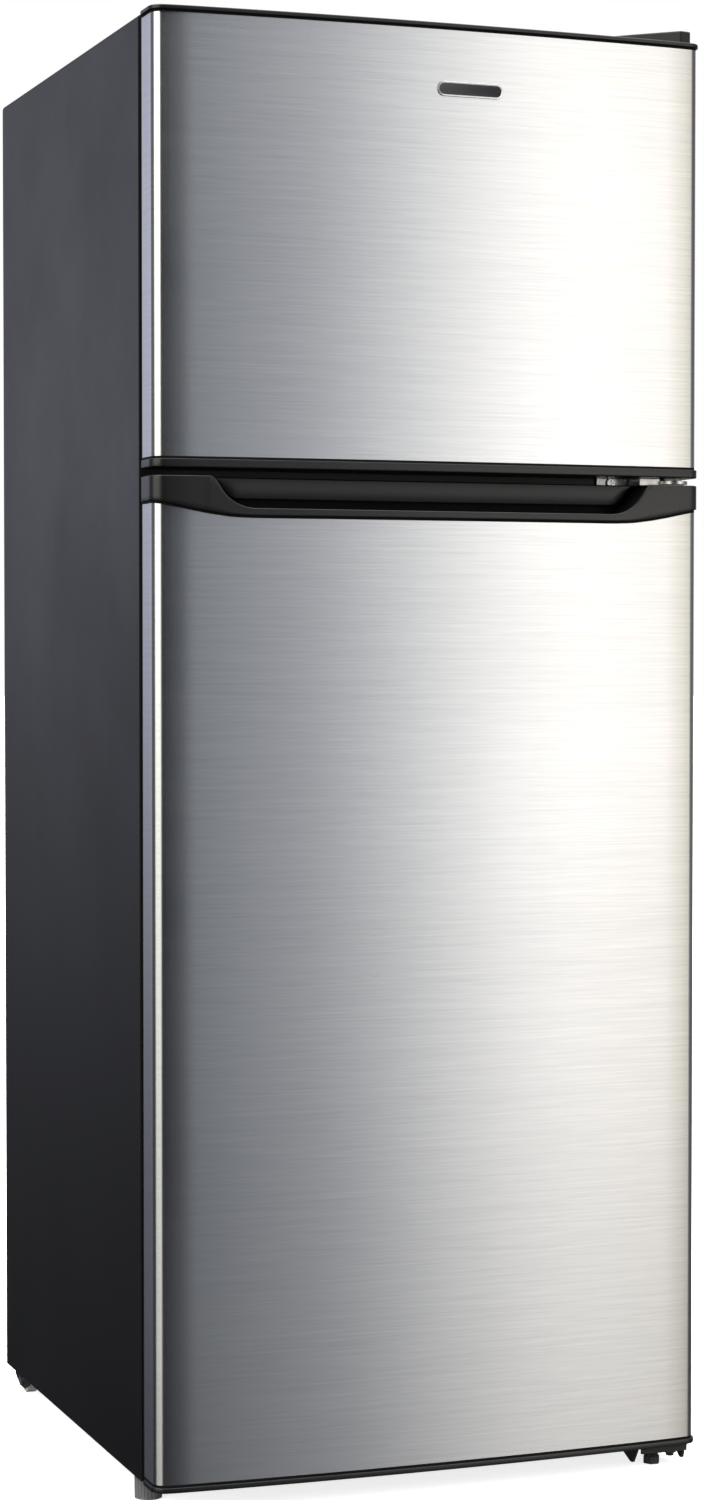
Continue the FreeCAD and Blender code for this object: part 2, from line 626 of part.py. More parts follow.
def emblem():
    """Blank rounded badge that follows the bow of the freezer door."""
    z = 1312.0
    face = round_edges(box(-2, 64, -310, -250, z - 7, z + 7), 6.9, Y_AXIS)
    band = door_prism(1.0, z - 12, z + 12).cut(door_prism(0, z - 13, z + 13))
    return band.common(face)


# ---------------------------------------------------------------- handle cap

def pocket_points(offset):
    """Return the right half of the recess outline, moved outwards by an offset."""
    moved = []
    for k, (x, z) in enumerate(LIP_CURVE):
        ax, az = LIP_CURVE[max(k - 1, 0)]
        bx, bz = LIP_CURVE[min(k + 1, len(LIP_CURVE) - 1)]
        length = math.hypot(bx - ax, bz - az)
        moved.append((x - offset * (bz - az) / length, z + offset * (bx - ax) / length))
    x, z = LIP_CURVE[-1]
    moved[-1] = (x, z - offset)
    return moved


def curve_and_mirror(points, y):
    """Return a smooth edge through (x, z) points, and its mirror image run the other way."""
    right = Part.BSplineCurve()
    right.interpolate([V(x, y, z) for x, z in points])
    left = Part.BSplineCurve()
    left.interpolate([V(-x, y, z) for x, z in reversed(points)])
    return right.toShape(), left.toShape()


def region_above(points, y0, y1, top):
    """Extrude the region between a mirrored curve and a level line, from front to back."""
    right, left = curve_and_mirror(points, y0)
    (xa, za), (xb, zb) = points[0], points[-1]
    corners = [V(-xa, y0, za), V(-xa, y0, top), V(xa, y0, top), V(xa, y0, za)]
    edges = [right, Part.makeLine(V(xb, y0, zb), V(-xb, y0, zb)), left]
    edges += [Part.makeLine(a, b) for a, b in zip(corners, corners[1:])]
    return Part.Face(Part.Wire(edges)).extrude(V(0, y1 - y0, 0))


def pocket_prism(offset, y0, y1, top=FRIDGE_CAPS[1] + 3):
    """Extrude the recess outline from front to back."""
    return region_above(pocket_points(offset), y0, y1, top)


def above_cap_line(lift):
    """Return the region above the cap's curved lower edge."""
    return region_above([(x, z + lift) for x, z in CAP_CURVE], -300, -220, FRIDGE_CAPS[1] + 10)


def well(grow):
    """Return the finger well behind the lip."""
    z0 = WELL_FLOOR - grow
    wide, narrow = WELL_X + WELL_SPREAD + grow, WELL_X + grow
    points = [(-wide, 0, WELL_TOP), (-narrow, 0, z0), (narrow, 0, z0), (wide, 0, WELL_TOP)]
    depth = POCKET_UNDERCUT - LIP_BACK + 2 * grow
    return polygon_prism(points, (0, LIP_BACK - grow, 0), (0, depth, 0))


def pocket_void():
    """Return the open space of the handle recess."""
    deep = pocket_prism(0, -300, POCKET_UNDERCUT)
    raised = pocket_prism(-RAISED_LINE, POCKET_BACK, POCKET_UNDERCUT + 1)
    return fuse([deep.cut(raised), well(0)])


def pocket_body():
    """Return the block that the walls of the recess fill."""
    upper = pocket_prism(POCKET_WALL, -292, POCKET_UNDERCUT + POCKET_WALL, FRIDGE_CAPS[1])
    return fuse([upper, well(POCKET_WALL)])


def handle_cap(seat):
    """Top cap of the fridge door with the recessed handle."""
    z_top, z_skin = FRIDGE_CAPS[1], FRIDGE_METAL[1]
    behind = DOOR_BACK + 5
    whole = door_prism(CAP_PROUD, z_skin - 30, z_top, chamfer=CAP_CHAMFER)
    ring = whole.cut(door_prism(0, z_skin - 40, z_top + 5, back=behind)).common(above_cap_line(0))
    plate = door_prism(CAP_PROUD, z_top - CAP_PLATE, z_top, chamfer=CAP_CHAMFER)
    keep_out = door_prism(0, z_skin - 60, z_skin + SKIN_TUCK, back=behind).cut(well(POCKET_WALL))
    walls = pocket_body().common(whole).cut(keep_out)
    boss = rod(BUSH_R + 3, (PIVOT_X, PIVOT_Y, z_top - BUSH_L), (PIVOT_X, PIVOT_Y, z_top))
    lip_front = door_prism(CAP_PROUD, z_skin, LIP_CURVE[-1][1], chamfer=CAP_CHAMFER)
    lip_front = lip_front.common(above_cap_line(SKIN_TUCK))
    lip_front = lip_front.cut(sym_box(300, LIP_BACK, 0, z_skin - 10, z_skin + 20))
    cap = fuse([ring, plate, walls, boss, lip_front])
    return cap.cut(pocket_void()).cut(seat)


# ---------------------------------------------------------------- hinges

def pin(z0, z1):
    """Return a hinge pin on the pivot line."""
    return rod(PIN_R, (PIVOT_X, PIVOT_Y, z0), (PIVOT_X, PIVOT_Y, z1))


def eye_arm(x0, x1, y_back, z0, z1, eye_r):
    """Return a flat arm that ends in a round eye on the pivot line."""
    arm = box(x0, x1, PIVOT_Y, y_back, z0, z1)
    return fuse([arm, rod(eye_r, (PIVOT_X, PIVOT_Y, z0), (PIVOT_X, PIVOT_Y, z1))])


def top_hinge():
    """Top hinge plate with its pin."""
    z0, z1 = TOP, TOP + HINGE_PLATE
    plate = box(211, 263, -228, -160, z0, z1)
    arm = eye_arm(PIVOT_X - 7, PIVOT_X + 7, -220, z0, z1, 7)
    return fuse([plate, arm, pin(z0 - BUSH_L, z1)])


def cover_prism(inset, z0, z1):
    """Extrude the hinge cover's outline, moved inwards by an inset."""
    points = []
    for x, y in COVER_OUTLINE:
        points.append((x + inset * (1 if x < 237 else -1), y + inset * (1 if y < -215 else -1), z0))
    return polygon_prism(points, (0, 0, 0), (0, 0, z1 - z0))


def top_hinge_cover():
    """Moulded cover over the top hinge."""
    outer = round_edges(cover_prism(0, TOP, COVER_TOP), 3.0, Z_AXIS)
    outer = outer.makeFillet(1.6, [e for e in outer.Edges if e.CenterOfMass.z > COVER_TOP - 0.01])
    return outer.cut(cover_prism(COVER_WALL, TOP - 1, COVER_TOP - COVER_WALL))


def middle_hinge():
    """Middle hinge: flange on the mullion, plate in the door gap with a folded edge, and a double pin."""
    z0, z1 = MIDDLE_PLATE_Z, MIDDLE_PLATE_Z + HINGE_PLATE
    flange = box(186, 246, FRONT - HINGE_PLATE, FRONT, 948, 959)
    flange = round_edges(flange, 3, Y_AXIS)
    arm = eye_arm(TAB_X[0], PIVOT_X + EYE_R, FRONT - 1, z0, z1, EYE_R)
    tab = box(*TAB_X, PIVOT_Y, PIVOT_Y + 1.5, FRIDGE_CAPS[1] + 0.6, FREEZER_CAPS[0] - 0.6)
    return fuse([flange, arm, tab, pin(z0 - BUSH_L, z1 + BUSH_L)])


def bottom_hinge():
    """Bottom hinge: plate under the base, gussets, pin and locknut."""
    z0, z1 = BASE - HINGE_PLATE, BASE
    plate = box(217, 268, -274, -192, z0, z1)
    plate = round_edges(plate, 6, Z_AXIS)
    relief = box(200, 280, -280, FRONT - 0.5, z1 - 0.4, z1 + 1)
    gusset = polygon_prism([(218, -262, z0), (218, -200, z0), (218, -246, 1.5), (218, -250, 1.5)],
                           (0, 0, 0), (HINGE_PLATE, 0, 0))
    web = box(218, 266, -273, -270, z0 - 4.5, z0)
    ear = polygon_prism([(263, -270, z0), (263, -244, z0), (263, -262, 6), (263, -266, 6)],
                        (0, 0, 0), (HINGE_PLATE, 0, 0))
    nut = hexagon(LOCKNUT_R, PIVOT_X, PIVOT_Y + 2, z0 - 8, z0)
    x, y = RIGHT_FOOT
    whole = fuse([plate.cut(relief), gusset, web, ear, nut, pin(z0 - 11, z1 + BUSH_L - 1)])
    return whole.cut(rod(STEM_R + RUNNING, (x, y, 0), (x, y, BASE + 5)))


def washer(z0, z1):
    """Return one washer on the hinge pin."""
    return tube(WASHER_R, PIN_R + 0.1, (PIVOT_X, PIVOT_Y, z0), (PIVOT_X, PIVOT_Y, z1))


def hinge_washers():
    """Nylon washers over and under the middle hinge plate."""
    z0, z1 = MIDDLE_PLATE_Z, MIDDLE_PLATE_Z + HINGE_PLATE
    upper = washer(z1, FREEZER_CAPS[0] - WASHER_PLAY)
    lower = washer(FRIDGE_CAPS[1] + WASHER_PLAY, z0)
    return Part.makeCompound([upper, lower])


def screw(x, y, z, direction, head=4.5, length=12.0):
    """Return a cross-recess pan-head screw whose head stands on the given point."""
    d = V(*direction)
    p = V(x, y, z)
    cap = Part.makeCylinder(head, 2.6, p, d)
    for angle in (0, 90):
        slot = Part.makeBox(1.2, head * 1.3, 2.4, V(-0.6, -head * 0.65, -1.2))
        slot.rotate(V(0, 0, 0), Z_AXIS, angle)
        if abs(d.z) < 0.5:
            slot.rotate(V(0, 0, 0), X_AXIS, 90)
        slot.translate(p + d * 2.6)
        cap = cap.cut(slot)
    shank = Part.makeCylinder(head * 0.5, length, p, d * -1)
    return fuse([cap, shank])


def hinge_screws():
    """Screws of all three hinges."""
    top = [screw(x, y, TOP + HINGE_PLATE, (0, 0, 1)) for x, y in ((222, -215), (222, -175), (252, -175))]
    middle = [screw(x, FRONT - HINGE_PLATE, 953.5, (0, -1, 0), 4.0) for x in (200, 222)]
    low = [screw(x, y, BASE - HINGE_PLATE, (0, 0, -1)) for x, y in ((232, -205), (256, -205))]
    return top + middle + low


# ---------------------------------------------------------------- controls

def thermostat_housing():
    """Moulded housing under the fridge ceiling for the thermostat and lamp."""
    z0, z1 = HOUSING_LOW, FRIDGE_CEILING
    y0, y1 = HOUSING_FRONT, HOUSING_BACK
    outer = sym_box(HOUSING_X, y0, y1, z0, z1)
    outer = round_edges(outer, 8, X_AXIS, lambda p: p.z < z0 + 1 and p.y < -100)
    inner = sym_box(HOUSING_X - PLASTIC, y0 + PLASTIC, y1 - PLASTIC, z0 + PLASTIC, z1 + 1)
    window = box(*WINDOW_X, *WINDOW_Y, z0 - 1, z0 + 10)
    shaft = rod(4.0, (KNOB_X, HOUSING_FRONT - 5, KNOB_Z), (KNOB_X, HOUSING_FRONT + 10, KNOB_Z))
    return outer.cut(inner).cut(window).cut(shaft)


def thermostat():
    """Thermostat body with its control shaft."""
    y0 = HOUSING_FRONT + PLASTIC
    body = box(KNOB_X - 18, KNOB_X + 18, y0, y0 + 34, KNOB_Z - 15, KNOB_Z + 15)
    shaft = rod(3.0, (KNOB_X, HOUSING_FRONT - 9, KNOB_Z), (KNOB_X, y0, KNOB_Z))
    return fuse([body, shaft])


def thermostat_knob():
    """Control knob with grip flutes and a pointer ridge."""
    y0 = HOUSING_FRONT - 0.5
    knob = rod(KNOB_R, (KNOB_X, y0, KNOB_Z), (KNOB_X, y0 - 12, KNOB_Z))
    for k in range(18):
        a = k * math.pi / 9
        cx, cz = KNOB_X + (KNOB_R + 0.6) * math.cos(a), KNOB_Z + (KNOB_R + 0.6) * math.sin(a)
        knob = knob.cut(rod(1.6, (cx, y0 - 3, cz), (cx, y0 - 13, cz)))
    ridge = box(KNOB_X - 1.2, KNOB_X + 1.2, y0 - 13.2, y0 - 11, KNOB_Z + 3, KNOB_Z + KNOB_R - 2)
    socket = rod(3.0 + RUNNING, (KNOB_X, y0 + 1, KNOB_Z), (KNOB_X, y0 - 9.5, KNOB_Z))
    return fuse([knob, ridge]).cut(socket)


def lamp():
    """Small tubular lamp with its holder."""
    x, z = LAMP_X, LAMP_Z
    bulb = fuse([rod(LAMP_R, (x, -60, z), (x, -30, z)), Part.makeSphere(LAMP_R, V(x, -60, z))])
    holder = rod(LAMP_R + 2, (x, -30, z), (x, HOUSING_BACK - PLASTIC, z))
    return fuse([bulb, holder])


def lamp_cover():
    """Ribbed translucent lamp window."""
    z0 = HOUSING_LOW
    plate = box(*WINDOW_X, *WINDOW_Y, z0, z0 + 2)
    ribs = [box(WINDOW_X[0] + 2, WINDOW_X[1] - 2, y, y + 2, z0 - 1.5, z0) for y in range(-86, 2, 8)]
    return fuse([plate] + ribs)


def switch_bore():
    """Return the hole for the light switch in the fridge ceiling."""
    x0, x1 = SWITCH_X - SWITCH_HALF, SWITCH_X + SWITCH_HALF
    return box(x0, x1, SWITCH_FRONT, SWITCH_BACK, FRIDGE_CEILING - 1, FRIDGE_CEILING + 8)


def light_switch_body():
    """Body of the door light switch under the fridge ceiling."""
    x0, x1 = SWITCH_X - SWITCH_HALF, SWITCH_X + SWITCH_HALF
    body = box(x0, x1, SWITCH_FRONT, SWITCH_BACK, SWITCH_Z - 10, FRIDGE_CEILING + 6)
    body = round_edges(body, 2, Y_AXIS, lambda p: p.z < SWITCH_Z)
    return body.cut(rod(4.0 + RUNNING, (SWITCH_X, SWITCH_FRONT - 1, SWITCH_Z), (SWITCH_X, -160, SWITCH_Z)))


def light_switch_plunger():
    """Sliding plunger of the light switch, held in by the shut door."""
    return fuse([rod(4.0, (SWITCH_X, -203, SWITCH_Z), (SWITCH_X, -172, SWITCH_Z)),
                 Part.makeSphere(4.0, V(SWITCH_X, -202.6, SWITCH_Z))])


# ---------------------------------------------------------------- storage

def wire_shelf():
    """Wire shelf of the freezer."""
    z = FREEZER_SHELF_Z + WIRE_R
    x1, y0, y1 = SHELF_X, SHELF_FRONT + 4, SHELF_BACK
    bars = [rod(2.6, (-x1, y, z), (x1, y, z)) for y in (y0, (y0 + y1) / 2, y1)]
    ends = [rod(2.6, (x, y0, z), (x, y1, z)) for x in (-x1, x1)]
    balls = [Part.makeSphere(2.6, V(x, y, z)) for x in (-x1, x1) for y in (y0, y1)]
    wires = [rod(1.5, (-198 + 18 * k, y0, z + 1), (-198 + 18 * k, y1, z + 1)) for k in range(23)]
    return fuse(bars + ends + balls + wires)


def glass_shelf(z, y1):
    """Tempered glass plate of a shelf."""
    return round_edges(sym_box(SHELF_X, SHELF_FRONT, y1, z, z + GLASS_T), 6, Z_AXIS)


def shelf_trim(z):
    """Moulded strip clipped on a shelf's front edge."""
    outer = sym_box(SHELF_X, SHELF_FRONT - 6, SHELF_FRONT + 10, z - 4, z + GLASS_T + 4)
    outer = round_edges(outer, 3, X_AXIS, lambda p: p.y < SHELF_FRONT)
    slot = sym_box(SHELF_X + 1, SHELF_FRONT, SHELF_FRONT + 20, z, z + GLASS_T)
    ends = sym_box(SHELF_X + 1, SHELF_FRONT - 10, SHELF_FRONT + 20, z - 9, z).cut(
        sym_box(CAVITY_X - LEDGE_W, SHELF_FRONT - 10, SHELF_FRONT + 20, z - 9, z))
    return outer.cut(slot).cut(ends)


def crisper_drawer():
    """Vegetable drawer with its grip lip."""
    tray = bins_shell(CRISPER_X, CRISPER_FRONT, CRISPER_BACK, CRISPER_Z0, CRISPER_Z1, PLASTIC, 14)
    grip = sym_box(80, CRISPER_FRONT - 12, CRISPER_FRONT + 1, CRISPER_Z1 - 6, CRISPER_Z1 - 2)
    drop = sym_box(80, CRISPER_FRONT - 12, CRISPER_FRONT - 9.5, CRISPER_Z1 - 18, CRISPER_Z1 - 2)
    return fuse([tray, grip, drop])


def door_bin(z0, height, y_back):
    """Door bin that snaps between the raised sides of the door liner."""
    y0 = DOOR_BACK
    tray = bins_shell(BIN_X, y0, y_back, z0, z0 + height, PLASTIC, 10)
    for share in (0.45, 0.65):
        z = z0 + height * share
        slot = sym_box(BIN_X - 30, y_back - 10, y_back + 2, z, z + 5)
        tray = tray.cut(round_edges(slot, 2.4, Y_AXIS))
    return tray


def save(name, shape):
    """Write one node."""
    shape.exportStep("parts/" + name + ".step")


def cabinet_nodes():
    """Build every node that is fixed to the cabinet."""
    screws = hinge_screws()
    nodes = {"outer_shell": outer_shell(), "back_panel": back_panel(), "bay_bulkhead": bay_bulkhead(),
             "base_pan": base_pan(), "mullion_rail": mullion_rail(), "freezer_liner": freezer_liner(),
             "fridge_liner": fridge_liner(), "evaporator": evaporator(), "condenser_coil": condenser_coil()}
    embedded = [nodes["evaporator"], nodes["condenser_coil"], nodes["mullion_rail"], nodes["back_panel"],
                nodes["base_pan"], light_switch_body()]
    nodes["cabinet_foam"] = cabinet_foam(embedded + screws)
    nodes["top_hinge"] = top_hinge()
    nodes["middle_hinge"] = middle_hinge()
    nodes["bottom_hinge"] = bottom_hinge()
    for name in ("outer_shell", "base_pan", "mullion_rail", "top_hinge", "middle_hinge", "bottom_hinge",
                 "fridge_liner", "freezer_liner"):
        for one in screws:
            nodes[name] = nodes[name].cut(one)
    nodes["top_hinge_cover"] = top_hinge_cover()
    nodes["hinge_washers"] = hinge_washers()
    feet = comp_feet()
    nodes["compressor"] = compressor()
    nodes["compressor_grommets"] = Part.makeCompound([grommet(x, y) for x, y in feet])
    bolts = [comp_bolt(x, y) for x, y in feet]
    nodes["fixing_screws"] = Part.makeCompound(screws + bolts)
    nodes["compressor_rail"] = compressor_rail()
    for one in bolts:
        nodes["compressor_rail"] = nodes["compressor_rail"].cut(one)
    nodes["terminal_cover"] = terminal_cover()
    nodes["cord_gland"] = cord_gland()
    nodes["filter_drier"] = filter_drier()
    nodes["refrigerant_tubes"] = refrigerant_tubes()
    nodes["drip_pan"] = drip_pan()
    bracket, axle = roller_bracket(), roller_axle()
    nodes["roller_brackets"] = Part.makeCompound([bracket, mirror_x(bracket)])
    nodes["roller_axles"] = Part.makeCompound([axle, mirror_x(axle)])
    nodes["thermostat_housing"] = thermostat_housing()
    nodes["thermostat"] = thermostat()
    nodes["lamp"] = lamp()
    nodes["lamp_cover"] = lamp_cover()
    nodes["light_switch_body"] = light_switch_body()
    nodes["freezer_shelf"] = wire_shelf()
    nodes["fridge_shelves"] = Part.makeCompound([glass_shelf(z, SHELF_BACK) for z in SHELF_LEVELS])
    nodes["crisper_cover"] = glass_shelf(COVER_Z, STEP_FACE - 2)
    nodes["shelf_trims"] = Part.makeCompound([shelf_trim(z) for z in SHELF_LEVELS + (COVER_Z,)])
    return nodes


def freezer_door_nodes():
    """Build the freezer door."""
    (low, high), (metal_low, metal_high) = FREEZER_CAPS, FREEZER_METAL
    seats = [bush_seat(high, -1), bush_seat(low, 1)]
    dyke0, dyke1 = 986.0, 1319.0
    top_cap = end_cap(high, metal_high, 10, seats[0])
    bottom_cap = end_cap(low, metal_low, 10, seats[1])
    liner = door_liner(metal_low - 6, metal_high + 3, dyke0, dyke1)
    return {"freezer_door_skin": door_skin(metal_low, metal_high),
            "freezer_door_top_cap": top_cap.cut(liner), "freezer_door_bottom_cap": bottom_cap.cut(liner),
            "freezer_door_liner": liner,
            "freezer_door_foam": door_foam(low + CAP_WALL, high - CAP_WALL, dyke0, dyke1,
                                           [top_cap, bottom_cap, liner] + seats),
            "freezer_door_gasket": gasket(960.0, 1370.0),
            "freezer_door_racks": Part.makeCompound([door_bin(z, 78, RACK_BACK) for z in (1022, 1190)]),
            "freezer_door_emblem": emblem(),
            "freezer_door_bushes": Part.makeCompound([bush(high, -1), bush(low, 1)])}


def fridge_door_nodes():
    """Build the fridge door."""
    low, high = FRIDGE_CAPS
    metal_low = FRIDGE_METAL[0]
    seats = [bush_seat(high, -1), bush_seat(low, 1)]
    dyke0, dyke1 = 84.0, 919.0
    cap, bottom_cap = handle_cap(seats[0]), end_cap(low, metal_low, 10, seats[1])
    liner = door_liner(metal_low - 6, high - 3, dyke0, dyke1)
    cap = cap.cut(liner)
    skin = door_skin(metal_low, 935).cut(above_cap_line(3.0))
    skin = skin.cut(box(-300, 300, DOOR_BACK - 12, DOOR_BACK + 1, 912, 960))
    return {"fridge_door_skin": skin,
            "handle_cap": cap.cut(skin), "fridge_door_bottom_cap": bottom_cap.cut(liner),
            "fridge_door_liner": liner,
            "fridge_door_foam": door_foam(low + CAP_WALL, high - 3, dyke0, dyke1,
                                          [cap, pocket_body(), bottom_cap, liner] + seats),
            "fridge_door_gasket": gasket(33.0, 947.0),
            "fridge_door_bins": Part.makeCompound([door_bin(z, 80, BIN_BACK) for z in (395, 620)]),
            "bottle_bin": door_bin(112, 105, BIN_BACK),
            "fridge_door_bushes": Part.makeCompound([bush(high, -1), bush(low, 1)])}


def moving_nodes():
    """Build the small moving bodies."""
    wheel = roller()
    return {"crisper_drawer": crisper_drawer(), "thermostat_knob": thermostat_knob(),
            "light_switch_plunger": light_switch_plunger(), "left_foot": left_foot(),
            "right_foot": right_foot(), "right_roller": wheel, "left_roller": mirror_x(wheel)}


def main():
    """Build and write every node."""
    os.makedirs("parts", exist_ok=True)
    for group in (cabinet_nodes(), freezer_door_nodes(), fridge_door_nodes(), moving_nodes()):
        for name, shape in group.items():
            save(name, shape)


main()
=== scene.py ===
"""Looks of the compact top freezer refrigerator, in metres: the doors face -Y and +Z is up."""
import bpy
import bmesh
import math
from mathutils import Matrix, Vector

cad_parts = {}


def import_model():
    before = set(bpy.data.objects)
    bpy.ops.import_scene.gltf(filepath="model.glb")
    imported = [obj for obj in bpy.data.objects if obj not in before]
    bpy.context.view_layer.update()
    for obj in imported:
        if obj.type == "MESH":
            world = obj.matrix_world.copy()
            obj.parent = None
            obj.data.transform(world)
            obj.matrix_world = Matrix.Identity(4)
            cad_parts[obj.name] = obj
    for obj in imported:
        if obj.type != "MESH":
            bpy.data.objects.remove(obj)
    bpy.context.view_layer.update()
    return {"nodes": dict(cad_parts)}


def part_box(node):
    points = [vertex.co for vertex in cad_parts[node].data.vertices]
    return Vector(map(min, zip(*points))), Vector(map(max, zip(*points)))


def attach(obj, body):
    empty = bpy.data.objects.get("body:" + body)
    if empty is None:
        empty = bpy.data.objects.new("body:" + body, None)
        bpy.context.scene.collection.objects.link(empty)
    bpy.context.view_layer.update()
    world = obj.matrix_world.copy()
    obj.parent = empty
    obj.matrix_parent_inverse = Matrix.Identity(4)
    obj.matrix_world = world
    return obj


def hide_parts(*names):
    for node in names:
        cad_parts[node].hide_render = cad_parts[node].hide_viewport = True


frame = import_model()
MM = 0.001


# ------------------------------------------------------------------ materials

def new_material(name):
    """Return an empty node material with its tree, principled shader and coordinates."""
    mat = bpy.data.materials.new(name)
    mat.use_nodes = True
    tree = mat.node_tree
    bsdf = tree.nodes["Principled BSDF"]
    coords = tree.nodes.new("ShaderNodeTexCoord")
    return mat, tree, bsdf, coords


def stretched(tree, coords, scale):
    """Return object coordinates scaled per axis."""
    mapping = tree.nodes.new("ShaderNodeMapping")
    mapping.inputs["Scale"].default_value = scale
    tree.links.new(coords.outputs["Object"], mapping.inputs["Vector"])
    return mapping.outputs["Vector"]


def noise(tree, vector, scale, detail=4.0, roughness=0.6):
    """Return the factor output of a noise texture."""
    node = tree.nodes.new("ShaderNodeTexNoise")
    node.inputs["Scale"].default_value = scale
    node.inputs["Detail"].default_value = detail
    node.inputs["Roughness"].default_value = roughness
    tree.links.new(vector, node.inputs["Vector"])
    return node.outputs["Fac"]


def mapped(tree, value, low, high, from_low=0.3, from_high=0.7):
    """Map a factor to a range."""
    node = tree.nodes.new("ShaderNodeMapRange")
    node.inputs["From Min"].default_value = from_low
    node.inputs["From Max"].default_value = from_high
    node.inputs["To Min"].default_value = low
    node.inputs["To Max"].default_value = high
    tree.links.new(value, node.inputs["Value"])
    return node.outputs["Result"]


def tinted(tree, value, colour_a, colour_b):
    """Mix two colours by a factor."""
    node = tree.nodes.new("ShaderNodeMix")
    node.data_type = "RGBA"
    node.inputs["A"].default_value = (*colour_a, 1)
    node.inputs["B"].default_value = (*colour_b, 1)
    tree.links.new(value, node.inputs["Factor"])
    return node.outputs["Result"]


def coloured(tree, bsdf, value, colour_a, colour_b):
    """Drive the base colour with a factor between two colours."""
    colour = tinted(tree, mapped(tree, value, 0.0, 1.0), colour_a, colour_b)
    tree.links.new(colour, bsdf.inputs["Base Color"])


def roughened(tree, bsdf, value, low, high):
    """Drive the roughness with a factor between two values."""
    tree.links.new(mapped(tree, value, low, high), bsdf.inputs["Roughness"])


def bumped(tree, bsdf, value, strength, distance):
    """Drive the normal with a height."""
    node = tree.nodes.new("ShaderNodeBump")
    node.inputs["Strength"].default_value = strength
    node.inputs["Distance"].default_value = distance
    tree.links.new(value, node.inputs["Height"])
    tree.links.new(node.outputs["Normal"], bsdf.inputs["Normal"])


def brushed_steel():
    """Horizontally brushed stainless steel."""
    mat, tree, bsdf, coords = new_material("brushed_steel_door")
    streaks = noise(tree, stretched(tree, coords, (12.0, 12.0, 900.0)), 1.0, 6.0, 0.75)
    broad = noise(tree, stretched(tree, coords, (1.2, 1.2, 60.0)), 1.0, 3.0, 0.5)
    cloud = noise(tree, stretched(tree, coords, (4.0, 4.0, 4.0)), 1.0, 3.0, 0.5)
    coloured(tree, bsdf, streaks, (0.54, 0.545, 0.55), (0.64, 0.64, 0.64))
    bsdf.inputs["Metallic"].default_value = 1.0
    add = tree.nodes.new("ShaderNodeMath")
    add.operation = "ADD"
    tree.links.new(mapped(tree, broad, 0.0, 0.010), add.inputs[0])
    tree.links.new(mapped(tree, cloud, 0.245, 0.265), add.inputs[1])
    tree.links.new(add.outputs[0], bsdf.inputs["Roughness"])
    bsdf.inputs["Anisotropic"].default_value = 0.88
    bsdf.inputs["Anisotropic Rotation"].default_value = 0.25
    tangent = tree.nodes.new("ShaderNodeTangent")
    tangent.direction_type = "RADIAL"
    tangent.axis = "Z"
    tree.links.new(tangent.outputs["Tangent"], bsdf.inputs["Tangent"])
    bumped(tree, bsdf, streaks, 0.08, 0.00012)
    return mat


def paint(name, dark, light, rough, peel=0.05, coat=0.0, shine=0.5, sheen_tint=(1.0, 1.0, 1.0)):
    """Sprayed paint with a faint orange peel and dust-soft roughness."""
    mat, tree, bsdf, coords = new_material(name)
    fine = noise(tree, stretched(tree, coords, (1, 1, 1)), 420.0, 2.0, 0.5)
    cloud = noise(tree, stretched(tree, coords, (1, 1, 1)), 5.0, 4.0, 0.6)
    coloured(tree, bsdf, cloud, dark, light)
    roughened(tree, bsdf, cloud, rough - 0.03, rough + 0.05)
    bsdf.inputs["Specular IOR Level"].default_value = shine
    bsdf.inputs["Specular Tint"].default_value = (*sheen_tint, 1)
    bsdf.inputs["Coat Weight"].default_value = coat
    bsdf.inputs["Coat Roughness"].default_value = 0.25
    bumped(tree, bsdf, fine, peel, 0.0003)
    return mat


def plastic(name, dark, light, rough, grain=900.0, strength=0.12, depth=0.0002, subsurface=0.0, shine=0.5):
    """Moulded plastic with a fine spark-eroded grain."""
    mat, tree, bsdf, coords = new_material(name)
    vector = stretched(tree, coords, (1, 1, 1))
    fine = noise(tree, vector, grain, 3.0, 0.6)
    cloud = noise(tree, vector, 9.0, 3.0, 0.5)
    coloured(tree, bsdf, cloud, dark, light)
    roughened(tree, bsdf, fine, rough - 0.05, rough + 0.08)
    bsdf.inputs["Subsurface Weight"].default_value = subsurface
    bsdf.inputs["Subsurface Scale"].default_value = 0.004
    bsdf.inputs["Specular IOR Level"].default_value = shine
    bumped(tree, bsdf, fine, strength, depth)
    return mat


def metal(name, dark, light, rough, spangle=160.0, strength=0.05):
    """Plated or bare metal with a mottled surface."""
    mat, tree, bsdf, coords = new_material(name)
    vector = stretched(tree, coords, (1, 1, 1))
    mottle = noise(tree, vector, spangle, 4.0, 0.65)
    coloured(tree, bsdf, mottle, dark, light)
    roughened(tree, bsdf, mottle, rough - 0.07, rough + 0.1)
    bsdf.inputs["Metallic"].default_value = 1.0
    bumped(tree, bsdf, mottle, strength, 0.0003)
    return mat


def clear(name, tint, rough, ior):
    """Clear glass or plastic with faint smears."""
    mat, tree, bsdf, coords = new_material(name)
    vector = stretched(tree, coords, (1, 1, 1))
    smear = noise(tree, vector, 12.0, 4.0, 0.6)
    paler = tuple(c * 0.9 + 0.1 for c in tint)
    coloured(tree, bsdf, smear, tint, paler)
    roughened(tree, bsdf, smear, rough, rough + 0.06)
    bsdf.inputs["Transmission Weight"].default_value = 1.0
    bsdf.inputs["IOR"].default_value = ior
    bumped(tree, bsdf, smear, 0.02, 0.0005)
    return mat


